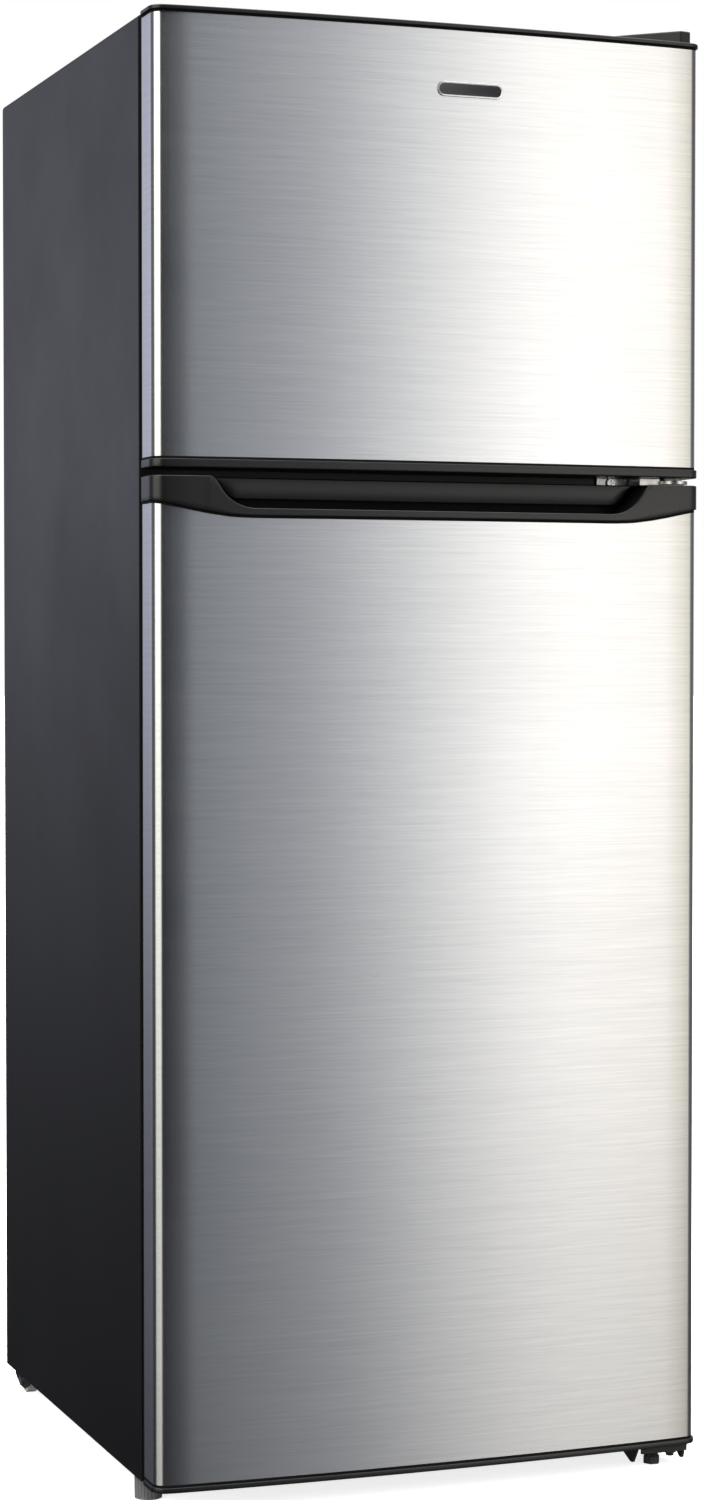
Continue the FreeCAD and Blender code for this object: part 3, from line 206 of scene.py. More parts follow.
def foam_material():
    """Rigid insulation foam with open cells."""
    mat, tree, bsdf, coords = new_material("insulation_foam")
    vector = stretched(tree, coords, (1, 1, 1))
    cells = tree.nodes.new("ShaderNodeTexVoronoi")
    cells.inputs["Scale"].default_value = 350.0
    tree.links.new(vector, cells.inputs["Vector"])
    cloud = noise(tree, vector, 14.0)
    coloured(tree, bsdf, cloud, (0.72, 0.58, 0.30), (0.84, 0.72, 0.44))
    roughened(tree, bsdf, cloud, 0.8, 0.95)
    bumped(tree, bsdf, cells.outputs["Distance"], 0.4, 0.001)
    return mat


MAT = {
    "steel": brushed_steel(),
    "cabinet": paint("cabinet_paint", (0.0034, 0.0035, 0.0036), (0.0046, 0.0047, 0.0048), 0.34, shine=0.2,
                     sheen_tint=(1.0, 0.98, 0.92)),
    "charcoal": plastic("charcoal_plastic", (0.0055, 0.0055, 0.006), (0.0085, 0.0085, 0.009), 0.31,
                        shine=0.42),
    # painted shade: a near-black plastic put on seam plugs, the steel's rear folds, the cabinet's front edge
    # and the finger well where shade falls
    "shadow": plastic("painted_shade_plastic", (0.004, 0.004, 0.004), (0.006, 0.006, 0.006), 0.6, shine=0.1),
    "enamel": plastic("badge_enamel", (0.008, 0.008, 0.010), (0.012, 0.012, 0.014), 0.22, strength=0.03),
    "black": plastic("black_plastic", (0.006, 0.006, 0.006), (0.010, 0.010, 0.011), 0.42, shine=0.3),
    "liner": plastic("liner_plastic", (0.78, 0.80, 0.81), (0.84, 0.855, 0.86), 0.28,
                     grain=700.0, strength=0.05, subsurface=0.15),
    "white_part": plastic("white_plastic", (0.74, 0.76, 0.77), (0.82, 0.83, 0.84), 0.34,
                          grain=800.0, strength=0.06, subsurface=0.1),
    "gasket": plastic("gasket_rubber", (0.012, 0.012, 0.013), (0.022, 0.022, 0.023), 0.55,
                      grain=500.0, strength=0.1),
    "rubber": plastic("black_rubber", (0.015, 0.015, 0.015), (0.03, 0.03, 0.03), 0.6,
                      grain=500.0, strength=0.15),
    "foot": plastic("foot_plastic", (0.13, 0.13, 0.135), (0.19, 0.19, 0.195), 0.48),
    "nylon": plastic("nylon", (0.74, 0.74, 0.70), (0.84, 0.84, 0.80), 0.38,
                     grain=600.0, strength=0.08, subsurface=0.2),
    "zinc": metal("zinc_plate", (0.50, 0.50, 0.47), (0.70, 0.69, 0.66), 0.32),
    "galvanised": metal("galvanised_sheet", (0.40, 0.41, 0.42), (0.46, 0.47, 0.48), 0.40,
                        spangle=210.0, strength=0.04),
    "black_steel": paint("black_steel", (0.010, 0.010, 0.010), (0.02, 0.02, 0.02), 0.42, peel=0.12),
    "screw": metal("screw_steel", (0.50, 0.50, 0.48), (0.66, 0.65, 0.62), 0.25),
    "copper": metal("copper_tube", (0.66, 0.31, 0.17), (0.76, 0.39, 0.23), 0.27,
                    spangle=240.0, strength=0.03),
    "compressor": paint("compressor_enamel", (0.010, 0.010, 0.011), (0.02, 0.02, 0.021), 0.28,
                        peel=0.15, coat=0.4),
    "aluminium": metal("evaporator_aluminium", (0.62, 0.63, 0.64), (0.78, 0.79, 0.80), 0.35),
    "wire": paint("white_wire_coat", (0.76, 0.77, 0.77), (0.84, 0.85, 0.85), 0.25, coat=0.3),
    "glass": clear("shelf_glass", (0.86, 0.95, 0.92), 0.0, 1.5),
    "bin": clear("clear_bin_plastic", (0.90, 0.94, 0.96), 0.03, 1.45),
    "window": clear("lamp_window", (0.92, 0.94, 0.94), 0.35, 1.45),
    "bulb": clear("lamp_bulb", (0.98, 0.94, 0.84), 0.15, 1.45),
    "badge": metal("badge_metal", (0.60, 0.61, 0.63), (0.72, 0.73, 0.74), 0.22),
    "foam": foam_material(),
}

# which CAD nodes each material is on
MATERIAL_NODES = {
    "cabinet": ("outer_shell", "mullion_rail"),
    "steel": ("freezer_door_skin", "fridge_door_skin"),
    "charcoal": ("freezer_door_top_cap", "freezer_door_bottom_cap", "handle_cap", "fridge_door_bottom_cap"),
    "badge": ("freezer_door_emblem",),
    "foam": ("cabinet_foam", "freezer_door_foam", "fridge_door_foam"),
    "gasket": ("freezer_door_gasket", "fridge_door_gasket"),
    "liner": ("freezer_liner", "fridge_liner", "freezer_door_liner", "fridge_door_liner"),
    "white_part": ("thermostat_housing", "thermostat_knob", "light_switch_body", "shelf_trims",
                   "freezer_door_racks"),
    "bin": ("fridge_door_bins", "bottle_bin", "crisper_drawer"),
    "glass": ("fridge_shelves", "crisper_cover"),
    "wire": ("freezer_shelf",),
    "bulb": ("lamp",),
    "window": ("lamp_cover",),
    "nylon": ("hinge_washers", "freezer_door_bushes", "fridge_door_bushes", "thermostat",
              "light_switch_plunger", "left_roller", "right_roller"),
    "galvanised": ("back_panel", "bay_bulkhead", "compressor_rail"),
    "zinc": ("top_hinge", "middle_hinge", "roller_axles"),
    "black_steel": ("base_pan", "bottom_hinge", "roller_brackets", "right_foot"),
    "black": ("top_hinge_cover", "terminal_cover", "drip_pan"),
    "foot": ("left_foot",),
    "screw": ("fixing_screws",),
    "compressor": ("compressor",),
    "rubber": ("compressor_grommets", "cord_gland"),
    "copper": ("condenser_coil", "filter_drier", "refrigerant_tubes"),
    "aluminium": ("evaporator",),
}

# rounding of the sharp edges of CAD nodes, in millimetres
BEVELS = {
    0.25: ("freezer_door_emblem",),
    0.3: ("roller_brackets", "compressor_rail"),
    0.4: ("thermostat_knob", "left_foot", "right_foot"),
    0.5: ("top_hinge", "middle_hinge", "bottom_hinge"),
    0.6: ("light_switch_body", "fridge_shelves", "crisper_cover", "drip_pan", "compressor"),
    0.7: ("handle_cap",),
    0.8: ("shelf_trims", "freezer_door_racks", "fridge_door_bins", "bottle_bin", "crisper_drawer",
          "terminal_cover"),
    1.0: ("thermostat_housing",),
    1.2: ("freezer_liner", "fridge_liner"),
    1.5: ("freezer_door_liner", "fridge_door_liner"),
}


def smooth_by_angle(obj, degrees=32.0):
    """Shade an object smoothly except across edges sharper than the angle."""
    mesh = obj.data
    mesh.polygons.foreach_set("use_smooth", [True] * len(mesh.polygons))
    mesh.update()
    limit = math.radians(degrees)
    bm = bmesh.new()
    bm.from_mesh(mesh)
    sharp = [e.index for e in bm.edges if len(e.link_faces) == 2 and e.calc_face_angle(0.0) > limit]
    bm.free()
    flags = [False] * len(mesh.edges)
    for index in sharp:
        flags[index] = True
    attribute = mesh.attributes.get("sharp_edge") or mesh.attributes.new("sharp_edge", "BOOLEAN", "EDGE")
    attribute.data.foreach_set("value", flags)


def add_bevel(obj, width):
    """Round an object's sharp edges slightly."""
    bevel = obj.modifiers.new("edge_rounding", "BEVEL")
    bevel.width = width
    bevel.segments = 2
    bevel.limit_method = "ANGLE"
    bevel.angle_limit = math.radians(40.0)
    bevel.harden_normals = False
    bevel.miter_outer = "MITER_ARC"


def dress_cad_nodes():
    """Give every CAD node its material and smooth shading, and the listed nodes their rounded edges."""
    material = {node: name for name, nodes in MATERIAL_NODES.items() for node in nodes}
    bevel = {node: width * MM for width, nodes in BEVELS.items() for node in nodes}
    for name, obj in frame["nodes"].items():
        obj.data.materials.clear()
        obj.data.materials.append(MAT[material[name]])
        smooth_by_angle(obj)
        if name in bevel:
            add_bevel(obj, bevel[name])


# ------------------------------------------------------------------ mesh building

def mesh_object(name, vertices, faces, material, body, replaced=(), angle=32.0):
    """Make an object from vertices and faces and let it ride on a body."""
    mesh = bpy.data.meshes.new(name)
    mesh.from_pydata(vertices, [], faces)
    bm = bmesh.new()
    bm.from_mesh(mesh)
    bmesh.ops.remove_doubles(bm, verts=bm.verts, dist=1e-6)
    bmesh.ops.recalc_face_normals(bm, faces=bm.faces)
    bm.to_mesh(mesh)
    bm.free()
    obj = bpy.data.objects.new(name, mesh)
    bpy.context.scene.collection.objects.link(obj)
    mesh.materials.append(material)
    smooth_by_angle(obj, angle)
    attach(obj, body)
    if replaced:
        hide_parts(*replaced)
    return obj


def repaint(obj, material, test):
    """Give the faces whose centre passes the test another material."""
    mesh = obj.data
    mesh.materials.append(material)
    index = len(mesh.materials) - 1
    for polygon in mesh.polygons:
        if test(polygon.center):
            polygon.material_index = index


def loft(rings, closed=False):
    """Return vertices and faces that join rings of equal length."""
    count = len(rings[0])
    vertices = [p for ring in rings for p in ring]
    faces = []
    for r in range(len(rings) - 1):
        for k in range(count - (0 if closed else 1)):
            a, b = r * count + k, r * count + (k + 1) % count
            faces.append((a, b, b + count, a + count))
    return vertices, faces


def quarter(radius, steps):
    """Return pairs along a quarter circle: the first falls from the radius to 0, the second rises to it."""
    turns = [math.pi / 2 * k / steps for k in range(steps + 1)]
    return [(radius * (1 - math.sin(t)), radius * (1 - math.cos(t))) for t in turns]


# ------------------------------------------------------------------ doors

SKIN_LOW, SKIN_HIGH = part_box("freezer_door_skin")
HALF_W = SKIN_HIGH.x
DOOR_BACK = SKIN_HIGH.y
DOOR_FRONT = SKIN_LOW.y     # the foremost depth, at the middle of the bow
BOW = 9.0 * MM              # how far the front's middle stands ahead of its sides
CORNER_R = 12.0 * MM
SHOULDER = 36.0 * MM        # the bow tightens over this width at each side
SHOULDER_DROP = 1.5 * MM
RETURN_EDGE = HALF_W - 10.5 * MM                        # where the steel's rear returns end
PROUD = -HALF_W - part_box("freezer_door_top_cap")[0].x   # how far the caps stand out past the steel
SEAM = 2.4 * MM             # gap between the steel and the caps; the plug inside it is painted near-black as painted shade
SEAM_DEPTH = 0.08 * MM      # how far the plug in the seam lies behind the steel's face
PLUG = 4.0 * MM             # how far a cap's plug reaches into the steel behind the seam
TOP_LAP = 2.6 * MM          # how far the steel's edge lies past the CAD skin's, onto each end cap
FREEZER_LAP = 1.6 * MM
FRIDGE_LAP = 3.3 * MM
REAR_CHAMFER = 6.0 * MM     # rear corners of the caps
CAP_BACK = DOOR_BACK - 0.2 * MM
INNER_RIM = 0.5 * MM        # rounding of a cap beside the seam
RIM_RADIUS = 1.1 * MM       # rounding of a cap's outer edge
HEM = 3.0 * MM              # width of the steel's rear fold, painted near-black as painted shade of the gap beside the door


def shoulder_drop(x):
    """Return how far the front falls behind its plain bow near the sides."""
    inside = abs(x) - (HALF_W - SHOULDER)
    return SHOULDER_DROP * (min(inside / SHOULDER, 1.0)) ** 2 if inside > 0 else 0.0


def front_y(x, grow):
    """Return the front face's depth at a place across the door, for an outline grown outward."""
    half = HALF_W + grow
    big = (half * half + BOW * BOW) / (2 * BOW)
    return DOOR_FRONT - grow + big - math.sqrt(big * big - x * x) + shoulder_drop(x)


def door_outline(grow, back, chamfer=0.0):
    """Return the door's plan outline from the rear left round the front to the rear right."""
    side_steps, corner_steps, bow_steps = 4, 14, 96
    half, radius = HALF_W + grow, CORNER_R + grow
    corner_x = -half + radius
    slope = (front_y(corner_x + 0.5 * MM, grow) - front_y(corner_x - 0.5 * MM, grow)) / MM
    end = 1.5 * math.pi + math.atan(slope)
    touch_x = corner_x + radius * math.cos(end)
    corner_y = front_y(touch_x, grow) - radius * math.sin(end)
    left = [(-half + chamfer, back)] if chamfer else []
    rear = back - chamfer
    left += [(-half, rear + (corner_y - rear) * k / side_steps) for k in range(side_steps)]
    for k in range(corner_steps + 1):
        angle = math.pi + (end - math.pi) * k / corner_steps
        left.append((corner_x + radius * math.cos(angle), corner_y + radius * math.sin(angle)))
    bow = []
    for k in range(1, bow_steps):
        x = touch_x - 2 * touch_x * k / bow_steps
        bow.append((x, front_y(x, grow)))
    return left + bow + [(-x, y) for x, y in reversed(left)]


def door_skin(name, node, body, top_line, lap):
    """Folded steel door skin with its rear returns, ending a seam's width short of its caps."""
    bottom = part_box(node)[0].z - lap + SEAM
    rear_left, *front, rear_right = door_outline(0.0, DOOR_BACK)
    hem_y = DOOR_BACK - HEM
    outline = [(-RETURN_EDGE, DOOR_BACK), rear_left, (-HALF_W, hem_y)]
    outline += front
    outline += [(HALF_W, hem_y), rear_right, (RETURN_EDGE, DOOR_BACK)]
    rows = 20
    rings = []
    for k in range(rows + 1):
        rings.append([(x, y, bottom + (top_line(x) - bottom) * k / rows) for x, y in outline])
    vertices, faces = loft(rings)
    obj = mesh_object(name, vertices, faces, MAT["steel"], body, [node], 40.0)
    # painted shade: the rear fold's faces get the near-black material
    repaint(obj, MAT["shadow"], lambda p: p.y > hem_y)


def end_cap(name, node, body, skin_node, upward, lap):
    """Proud moulded cap on the end of a door."""
    low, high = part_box(node)
    skin_low, skin_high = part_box(skin_node)
    metal_z = skin_high.z + lap if upward else skin_low.z - lap
    out_z = high.z if upward else low.z
    sign = 1.0 if upward else -1.0
    rings = []
    for grow, z in cap_layers(metal_z, out_z, sign):
        chamfer = REAR_CHAMFER if grow > 0 else 0.1 * MM    # the plug keeps its rear corners
        rings.append([(x, y, z) for x, y in door_outline(grow, CAP_BACK, chamfer)])
    vertices, faces = loft(rings, closed=True)
    count = len(rings[0])
    faces.append(tuple(range(count)))
    faces.append(tuple(len(vertices) - 1 - k for k in range(count)))
    obj = mesh_object(name, vertices, faces, MAT["charcoal"], body, [node], 38.0)
    # painted shade: the plug in the seam gets the near-black material
    repaint(obj, MAT["shadow"], lambda p: sign * (metal_z - p.z) > 0.5 * MM)


def cap_layers(metal_z, out_z, sign):
    """Return (grow, z) layers of a cap: the plug behind the seam, the rim and the rounded outer edge."""
    layers = [(-SEAM_DEPTH, metal_z - sign * PLUG), (-SEAM_DEPTH, metal_z)]
    layers += [(PROUD - inset, metal_z + sign * rise) for inset, rise in quarter(INNER_RIM, 3)]
    layers += [(PROUD - inset, out_z - sign * fall) for fall, inset in quarter(RIM_RADIUS, 5)]
    layers.append((PROUD - 6.0 * MM, out_z))
    return layers


# ------------------------------------------------------------------ handle cap

TOP_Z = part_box("handle_cap")[1].z
# lines across the cap as (distance from the middle, height under its top), in millimetres
CAP_LINE = [(0, -35.6), (180, -35.6), (200, -34.9), (220, -32.4), (240, -28.9), (249, -26.9), (265, -23.9),
            (276, -22.3)]
LIP_LINE = [(0, -29.0), (181, -28.8), (188, -27.6), (194.4, -25.2), (199.5, -22.3), (205.6, -17.5),
            (210.6, -10.7), (214.7, -4.0), (217.7, -0.9), (221, 0.0)]
RAISED_LINE = [(0, -19.7), (188, -19.3), (193, -18.0), (197, -15.0), (201, -11.0), (205, -6.0), (208, -2.0),
               (211, 0.0)]
POCKET_HALF = 221.0 * MM
POCKET_BACK = -260.0 * MM
UNDERCUT_BACK = -248.0 * MM
LIP_BACK = -280.0 * MM
WELL_DEPTH = -48.0 * MM
WELL_SLOPE_FROM = 184.0 * MM    # the well's floor rises outside this place
LOWER_RIM = 0.6 * MM
PLUG_CORNER_RISE = 1.8 * MM     # lifts the plug's rear corners over the foam's
REAR_WALL = 40.0 * MM
TINY = 1e-9                     # slack in comparing places


def line_height(line, x):
    """Interpolate a line of (x, z) pairs, in millimetres, at a place in metres; returns metres."""
    at = abs(x) / MM
    for (xa, za), (xb, zb) in zip(line, line[1:]):
        if at <= xb:
            t = (at - xa) / (xb - xa)
            return (za + (zb - za) * t) * MM
    return line[-1][1] * MM


def soft_height(line, x):
    """Interpolate a line with its corners softened."""
    spread = 2.0 * MM
    return sum(line_height(line, x + spread * k) for k in (-1.0, -0.5, 0.0, 0.5, 1.0)) / 5


def pocket_columns():
    """Return the places across the recess, closer together at its sloping ends."""
    middle = [4.0 + 6.0 * k for k in range(28)]
    ends = [172 + 0.7 * k for k in range(70)]
    right = middle + ends + [POCKET_HALF / MM]
    return [-x * MM for x in reversed(right)] + [x * MM for x in right]


def lip_height(x):
    """Return the height of the recess's front lip, or of the cap's top beside the recess."""
    return TOP_Z + soft_height(LIP_LINE, x) if abs(x) < POCKET_HALF - 0.1 * MM else TOP_Z


def pocket_profile(x):
    """Return the recess's profile from the lip's front round to the top of its back wall."""
    lip = lip_height(x)
    raised = max(lip, TOP_Z + soft_height(RAISED_LINE, x))
    wall = TOP_Z + WELL_DEPTH + max(0.0, abs(x) - WELL_SLOPE_FROM) * 1.5
    floor = min(lip, wall)
    front = front_y(x, PROUD)
    inner = min(RIM_RADIUS, (lip - floor) / 2)
    edge = min(0.6 * MM, (TOP_Z - raised) / 2)
    top = min(1.2 * MM, (TOP_Z - raised) / 2)
    points = [(front + back, lip - fall) for fall, back in quarter(RIM_RADIUS, 5)]
    points += [(LIP_BACK - ahead, lip - fall) for ahead, fall in quarter(inner, 4)]
    points += [
        (LIP_BACK, floor + min(3 * MM, (lip - floor) / 2)),
        (LIP_BACK + 3 * MM, floor),
        (UNDERCUT_BACK - 3 * MM, floor),
        (UNDERCUT_BACK, floor + min(3 * MM, (raised - floor) / 2)),
        (UNDERCUT_BACK - 6 * MM, raised),
        (POCKET_BACK + edge, raised),
        (POCKET_BACK + edge * 0.3, raised + edge * 0.3),
        (POCKET_BACK, raised + edge),
    ]
    points += [(POCKET_BACK + back, TOP_Z - fall) for fall, back in quarter(top, 4)]
    points.append((POCKET_BACK + 2 * MM, TOP_Z))
    return [(x, y, z) for y, z in points]


def wall_levels(x):
    """Return (grow, z) levels up the cap's wall: the plug, the lower rim, the wall and the upper rim."""
    low_z = TOP_Z + soft_height(CAP_LINE, x)
    lip = lip_height(x) - RIM_RADIUS
    foot = low_z + LOWER_RIM
    levels = [(-SEAM_DEPTH, low_z - PLUG), (-SEAM_DEPTH, low_z)]
    levels += [(PROUD - inset, low_z + rise) for inset, rise in quarter(LOWER_RIM, 2)[1:]]
    levels += [(PROUD, min(foot + (lip - foot) * k / 6, lip)) for k in range(1, 7)]
    for fall, inset in quarter(RIM_RADIUS, 6)[1:]:
        levels.append((PROUD, lip) if abs(x) < POCKET_HALF - TINY else (PROUD - inset, TOP_Z - fall))
    return levels


def wall_column(place, normal):
    """Return the points up the cap's wall at a place on its plan path."""
    (x, y), (nx, ny) = place, normal
    column = []
    for k, (grow, z) in enumerate(wall_levels(x)):
        plug = k < 2
        if abs(x) <= POCKET_HALF + TINY:
            front = front_y(x, 0.0) if plug else front_y(x, PROUD) + PROUD
            column.append((x, front - grow, z))
        elif plug and y > CAP_BACK - 0.1 * MM:
            column.append((math.copysign(HALF_W, x) + nx * grow, y + ny * grow, z + PLUG_CORNER_RISE))
        else:
            column.append((x + nx * grow, y + ny * grow, z))
    return column


def handle_cap():
    """Moulded top cap of the fridge door with the recessed grip."""
    vertices, faces = loft([pocket_profile(x) for x in pocket_columns()])

    def add(more_vertices, more_faces):
        base = len(vertices)
        vertices.extend(more_vertices)
        faces.extend(tuple(i + base for i in face) for face in more_faces)

    side = [p for p in door_outline(0.0, CAP_BACK, REAR_CHAMFER) if p[0] < -POCKET_HALF - 1 * MM]
    across = [(x, front_y(x, 0.0)) for x in pocket_columns()]
    path = side + across + [(-x, y) for x, y in reversed(side)]
    columns = [wall_column(place, normal) for place, normal in zip(path, outward(path))]
    rings = [list(ring) for ring in zip(*columns)]
    add(*loft(rings))

    shoulder = [p for p in rings[-1] if p[0] < -POCKET_HALF + TINY]
    shoulder += [(-POCKET_HALF, POCKET_BACK + 2 * MM, TOP_Z), (-POCKET_HALF, CAP_BACK, TOP_Z)]
    add(shoulder, [tuple(range(len(shoulder)))])
    add([(-x, y, z) for x, y, z in shoulder], [tuple(reversed(range(len(shoulder))))])

    wall_z = TOP_Z - REAR_WALL
    behind = [[(x, POCKET_BACK + 2 * MM, TOP_Z), (x, CAP_BACK, TOP_Z), (x, CAP_BACK, wall_z)]
              for x in pocket_columns()]
    add(*loft(behind))
    for end in (-1, 1):
        near, far = end * POCKET_HALF, end * (HALF_W + PROUD - REAR_CHAMFER)
        corners = [(near, CAP_BACK, TOP_Z), (far, CAP_BACK, TOP_Z), (far, CAP_BACK, wall_z),
                   (near, CAP_BACK, wall_z)]
        add(corners, [(0, 1, 2, 3)[::end]])
    obj = mesh_object("handle_cap_piece", vertices, faces, MAT["charcoal"], "fridge_door", ["handle_cap"],
                      38.0)
    # painted shade: the seam under the cap and the finger well's depth get the near-black material
    repaint(obj, MAT["shadow"], in_the_dark)


def in_the_dark(point):
    """Tell the faces painted near-black as painted shade, the seam under the cap and the depth of the finger
    well, from the rest of the cap.
    """
    if point.z < TOP_Z + soft_height(CAP_LINE, point.x) - 1.0 * MM:
        return point.y < LIP_BACK or abs(point.x) > POCKET_HALF
    behind_lip = LIP_BACK - 0.1 * MM < point.y < UNDERCUT_BACK + 0.1 * MM and abs(point.x) < POCKET_HALF
    return behind_lip and point.z < TOP_Z + soft_height(RAISED_LINE, point.x) - 0.1 * MM


def outward(path):
    """Return outward unit normals of a plan path that runs from the left round the front to the right."""
    found = []
    for k in range(len(path)):
        ax, ay = path[max(k - 1, 0)]
        bx, by = path[min(k + 1, len(path) - 1)]
        dx, dy = bx - ax, by - ay
        length = math.hypot(dx, dy) or 1.0
        found.append((dy / length, -dx / length))
    return found


def emblem():
    """Blank oval badge: a bright rim round a dark enamel field, following the door's bow."""
    low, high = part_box("freezer_door_emblem")
    centre_x, centre_z = (low.x + high.x) / 2, (low.z + high.z) / 2
    radius = (high.z - low.z) / 2
    reach = (high.x - low.x) / 2 - radius
    steps = 20
    rim_section = [(0.0, 0.0), (0.0, 0.6), (0.15, 0.85), (0.5, 1.0), (1.1, 1.0), (1.35, 0.7), (1.6, 0.65)]

    def ring(inset, grow):
        points = []
        for side in (1, -1):
            for k in range(steps + 1):
                angle = math.pi / 2 - math.pi * k / steps
                x = centre_x + side * (reach + (radius - inset) * math.cos(angle))
                z = centre_z + side * (radius - inset) * math.sin(angle)
                points.append((x, front_y(x, grow), z))
        return points

    rings = [ring(inset * MM, grow * MM) for inset, grow in rim_section]
    vertices, faces = loft(rings, closed=True)
    count = len(rings[0])
    faces.append(tuple(len(vertices) - count + k for k in range(count)))
    obj = mesh_object("emblem_badge", vertices, faces, MAT["badge"], "freezer_door", ["freezer_door_emblem"],
                      35.0)
    field = max(obj.data.polygons, key=lambda polygon: polygon.area)
    obj.data.materials.append(MAT["enamel"])
    field.material_index = 1


# ------------------------------------------------------------------ cabinet

EDGE_BAND = 2.2 * MM        # band where the cabinet's side turns in behind the doors, painted near-black as painted shade of the gap


def cabinet_wrap():
    """Folded painted wrap: sides and top with bent edges, and its front and rear flanges."""
    low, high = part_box("outer_shell")
    front_flange, rear_flange = 36.0 * MM, 9.0 * MM
    bend = 1.4 * MM
    roof_radius = 5.0 * MM

    def section(inset, y):
        radius = max(roof_radius - inset, 0.3 * MM)
        side, top = high.x - inset, high.z - inset
        left = [(-side, y, low.z), (-side, y, low.z + (top - radius - low.z) / 2)]
        left += [(-side + inward, y, top - fall) for fall, inward in quarter(radius, 8)]
        return left + [(-x, y, z) for x, y, z in reversed(left)]

    rings = [section(front_flange, low.y)]
    rings += [section(inset, low.y + back) for inset, back in quarter(bend, 5)]
    rings += [section(0.0, low.y + EDGE_BAND), section(0.0, high.y - bend)]
    rings += [section(inset, high.y - ahead) for ahead, inset in quarter(bend, 5)]
    rings.append(section(rear_flange, high.y))
    vertices, faces = loft(rings)
    obj = mesh_object("cabinet_wrap", vertices, faces, MAT["cabinet"], "cabinet", ["outer_shell"],
                      30.0)
    # painted shade: the band at the cabinet's front edge gets the near-black material
    repaint(obj, MAT["shadow"], lambda p: low.y + 0.1 * MM < p.y < low.y + EDGE_BAND)


# ------------------------------------------------------------------ stage, light and camera

def stage():
    """Pale floor that stays out of the steel's reflections."""
    bpy.ops.mesh.primitive_plane_add(size=120.0, location=(0, 0, 0))
    floor = bpy.context.object
    floor.name = "stage_floor"
    mat, tree, bsdf, coords = new_material("pale_floor")
    cloud = noise(tree, stretched(tree, coords, (1, 1, 1)), 3.0)
    coloured(tree, bsdf, cloud, (0.90, 0.90, 0.90), (0.93, 0.93, 0.93))
    bsdf.inputs["Roughness"].default_value = 0.9
    bsdf.inputs["Emission Color"].default_value = (1.0, 1.0, 1.0, 1)
    bsdf.inputs["Emission Strength"].default_value = 0.8
    floor.data.materials.append(mat)
    floor.visible_glossy = False
    floor.visible_diffuse = False


def ramp(tree, value, stops):
    """Return a colour ramp's output for (position, colour or grey) stops."""
    node = tree.nodes.new("ShaderNodeValToRGB")
    elements = node.color_ramp.elements
    for index, (position, colour) in enumerate(stops):
        if index == 0:
            element = elements[0]
        elif index == len(stops) - 1:
            element = elements[-1]
        else:
            element = elements.new(position)
        element.color = (*colour, 1) if isinstance(colour, tuple) else (colour, colour, colour, 1)
    tree.links.new(value, node.inputs["Fac"])
    return node.outputs["Color"]


# The studio's four layers of light. AROUND gives colour by bearing in degrees, 0 ahead of the doors and 90 at
# the hinge side. RISE multiplies it by height, 0 straight below and 1 straight above.
FRONT_AROUND = [
    (-180, 0.0), (-44, 0.0), (-34, (0.004, 0.005, 0.012)), (4, (0.006, 0.009, 0.022)),
    (8, (0.02, 0.03, 0.05)), (11, (0.38, 0.42, 0.46)), (16, (0.46, 0.47, 0.55)), (22, (1.40, 1.42, 1.42)),
    (28, (2.58, 2.50, 2.42)), (34, (2.06, 1.96, 1.84)), (42, (1.34, 1.28, 1.08)), (52, (1.46, 1.41, 1.34)),
    (70, 0.26), (105, 0.15), (130, 0.5), (150, 0.5), (180, 0.0),
]
FRONT_RISE = [
    (0.0, 0.18), (0.22, 0.28), (0.29, 0.18), (0.35, 0.04), (0.39, 0.06), (0.44, 1.01), (0.47, 1.54),
    (0.50, 1.31), (0.54, 0.89), (0.60, 0.74), (1.0, 0.72),
]
SIDE_AROUND = [
    (-180, (0.16, 0.16, 0.17)), (-172, (0.34, 0.35, 0.40)), (-165, (0.62, 0.64, 0.79)),
    (-157, (0.80, 0.82, 1.0)), (-150, (0.60, 0.62, 0.72)), (-138, 0.22), (-104, 0.20), (-94, 0.0),
    (150, 0.0), (180, (0.16, 0.16, 0.17)),
]
SIDE_RISE = [
    (0.0, 0.02), (0.38, 0.06), (0.43, 0.15), (0.46, 0.38), (0.49, 0.66), (0.52, 1.0), (0.57, 1.08),
    (0.62, 0.85), (1.0, 0.6),
]
STRIP_COLOUR = (2.7, 2.7, 2.5)
STRIP_AROUND = [(-180, 0.0), (-103, 0.0), (-94, STRIP_COLOUR), (-47, STRIP_COLOUR), (-37, 0.0), (180, 0.0)]
STRIP_RISE = [
    (0.0, 0.0), (0.30, 0.02), (0.40, 0.07), (0.44, 0.20), (0.47, 0.50), (0.50, 0.90), (0.54, 1.1), (1.0, 1.0),
]
CEILING_AROUND = [(-180, 1.0), (180, 1.0)]
CEILING_RISE = [(0.0, 0.0), (0.86, 0.0), (0.91, 4.0), (1.0, 4.0)]
LAYERS = [
    (FRONT_AROUND, FRONT_RISE), (SIDE_AROUND, SIDE_RISE), (STRIP_AROUND, STRIP_RISE),
    (CEILING_AROUND, CEILING_RISE),
]


def math_node(tree, operation, *values):
    """Return the output of a maths node over links or plain numbers."""
    node = tree.nodes.new("ShaderNodeMath")
    node.operation = operation
    for socket, value in zip(node.inputs, values):
        if isinstance(value, float):
            socket.default_value = value
        else:
            tree.links.new(value, socket)
    return node.outputs[0]


def colour_mix(tree, blend, a, b):
    """Return two colours blended fully."""
    node = tree.nodes.new("ShaderNodeMix")
    node.data_type = "RGBA"
    node.blend_type = blend
    node.inputs["Factor"].default_value = 1.0
    tree.links.new(a, node.inputs["A"])
    tree.links.new(b, node.inputs["B"])
    return node.outputs["Result"]


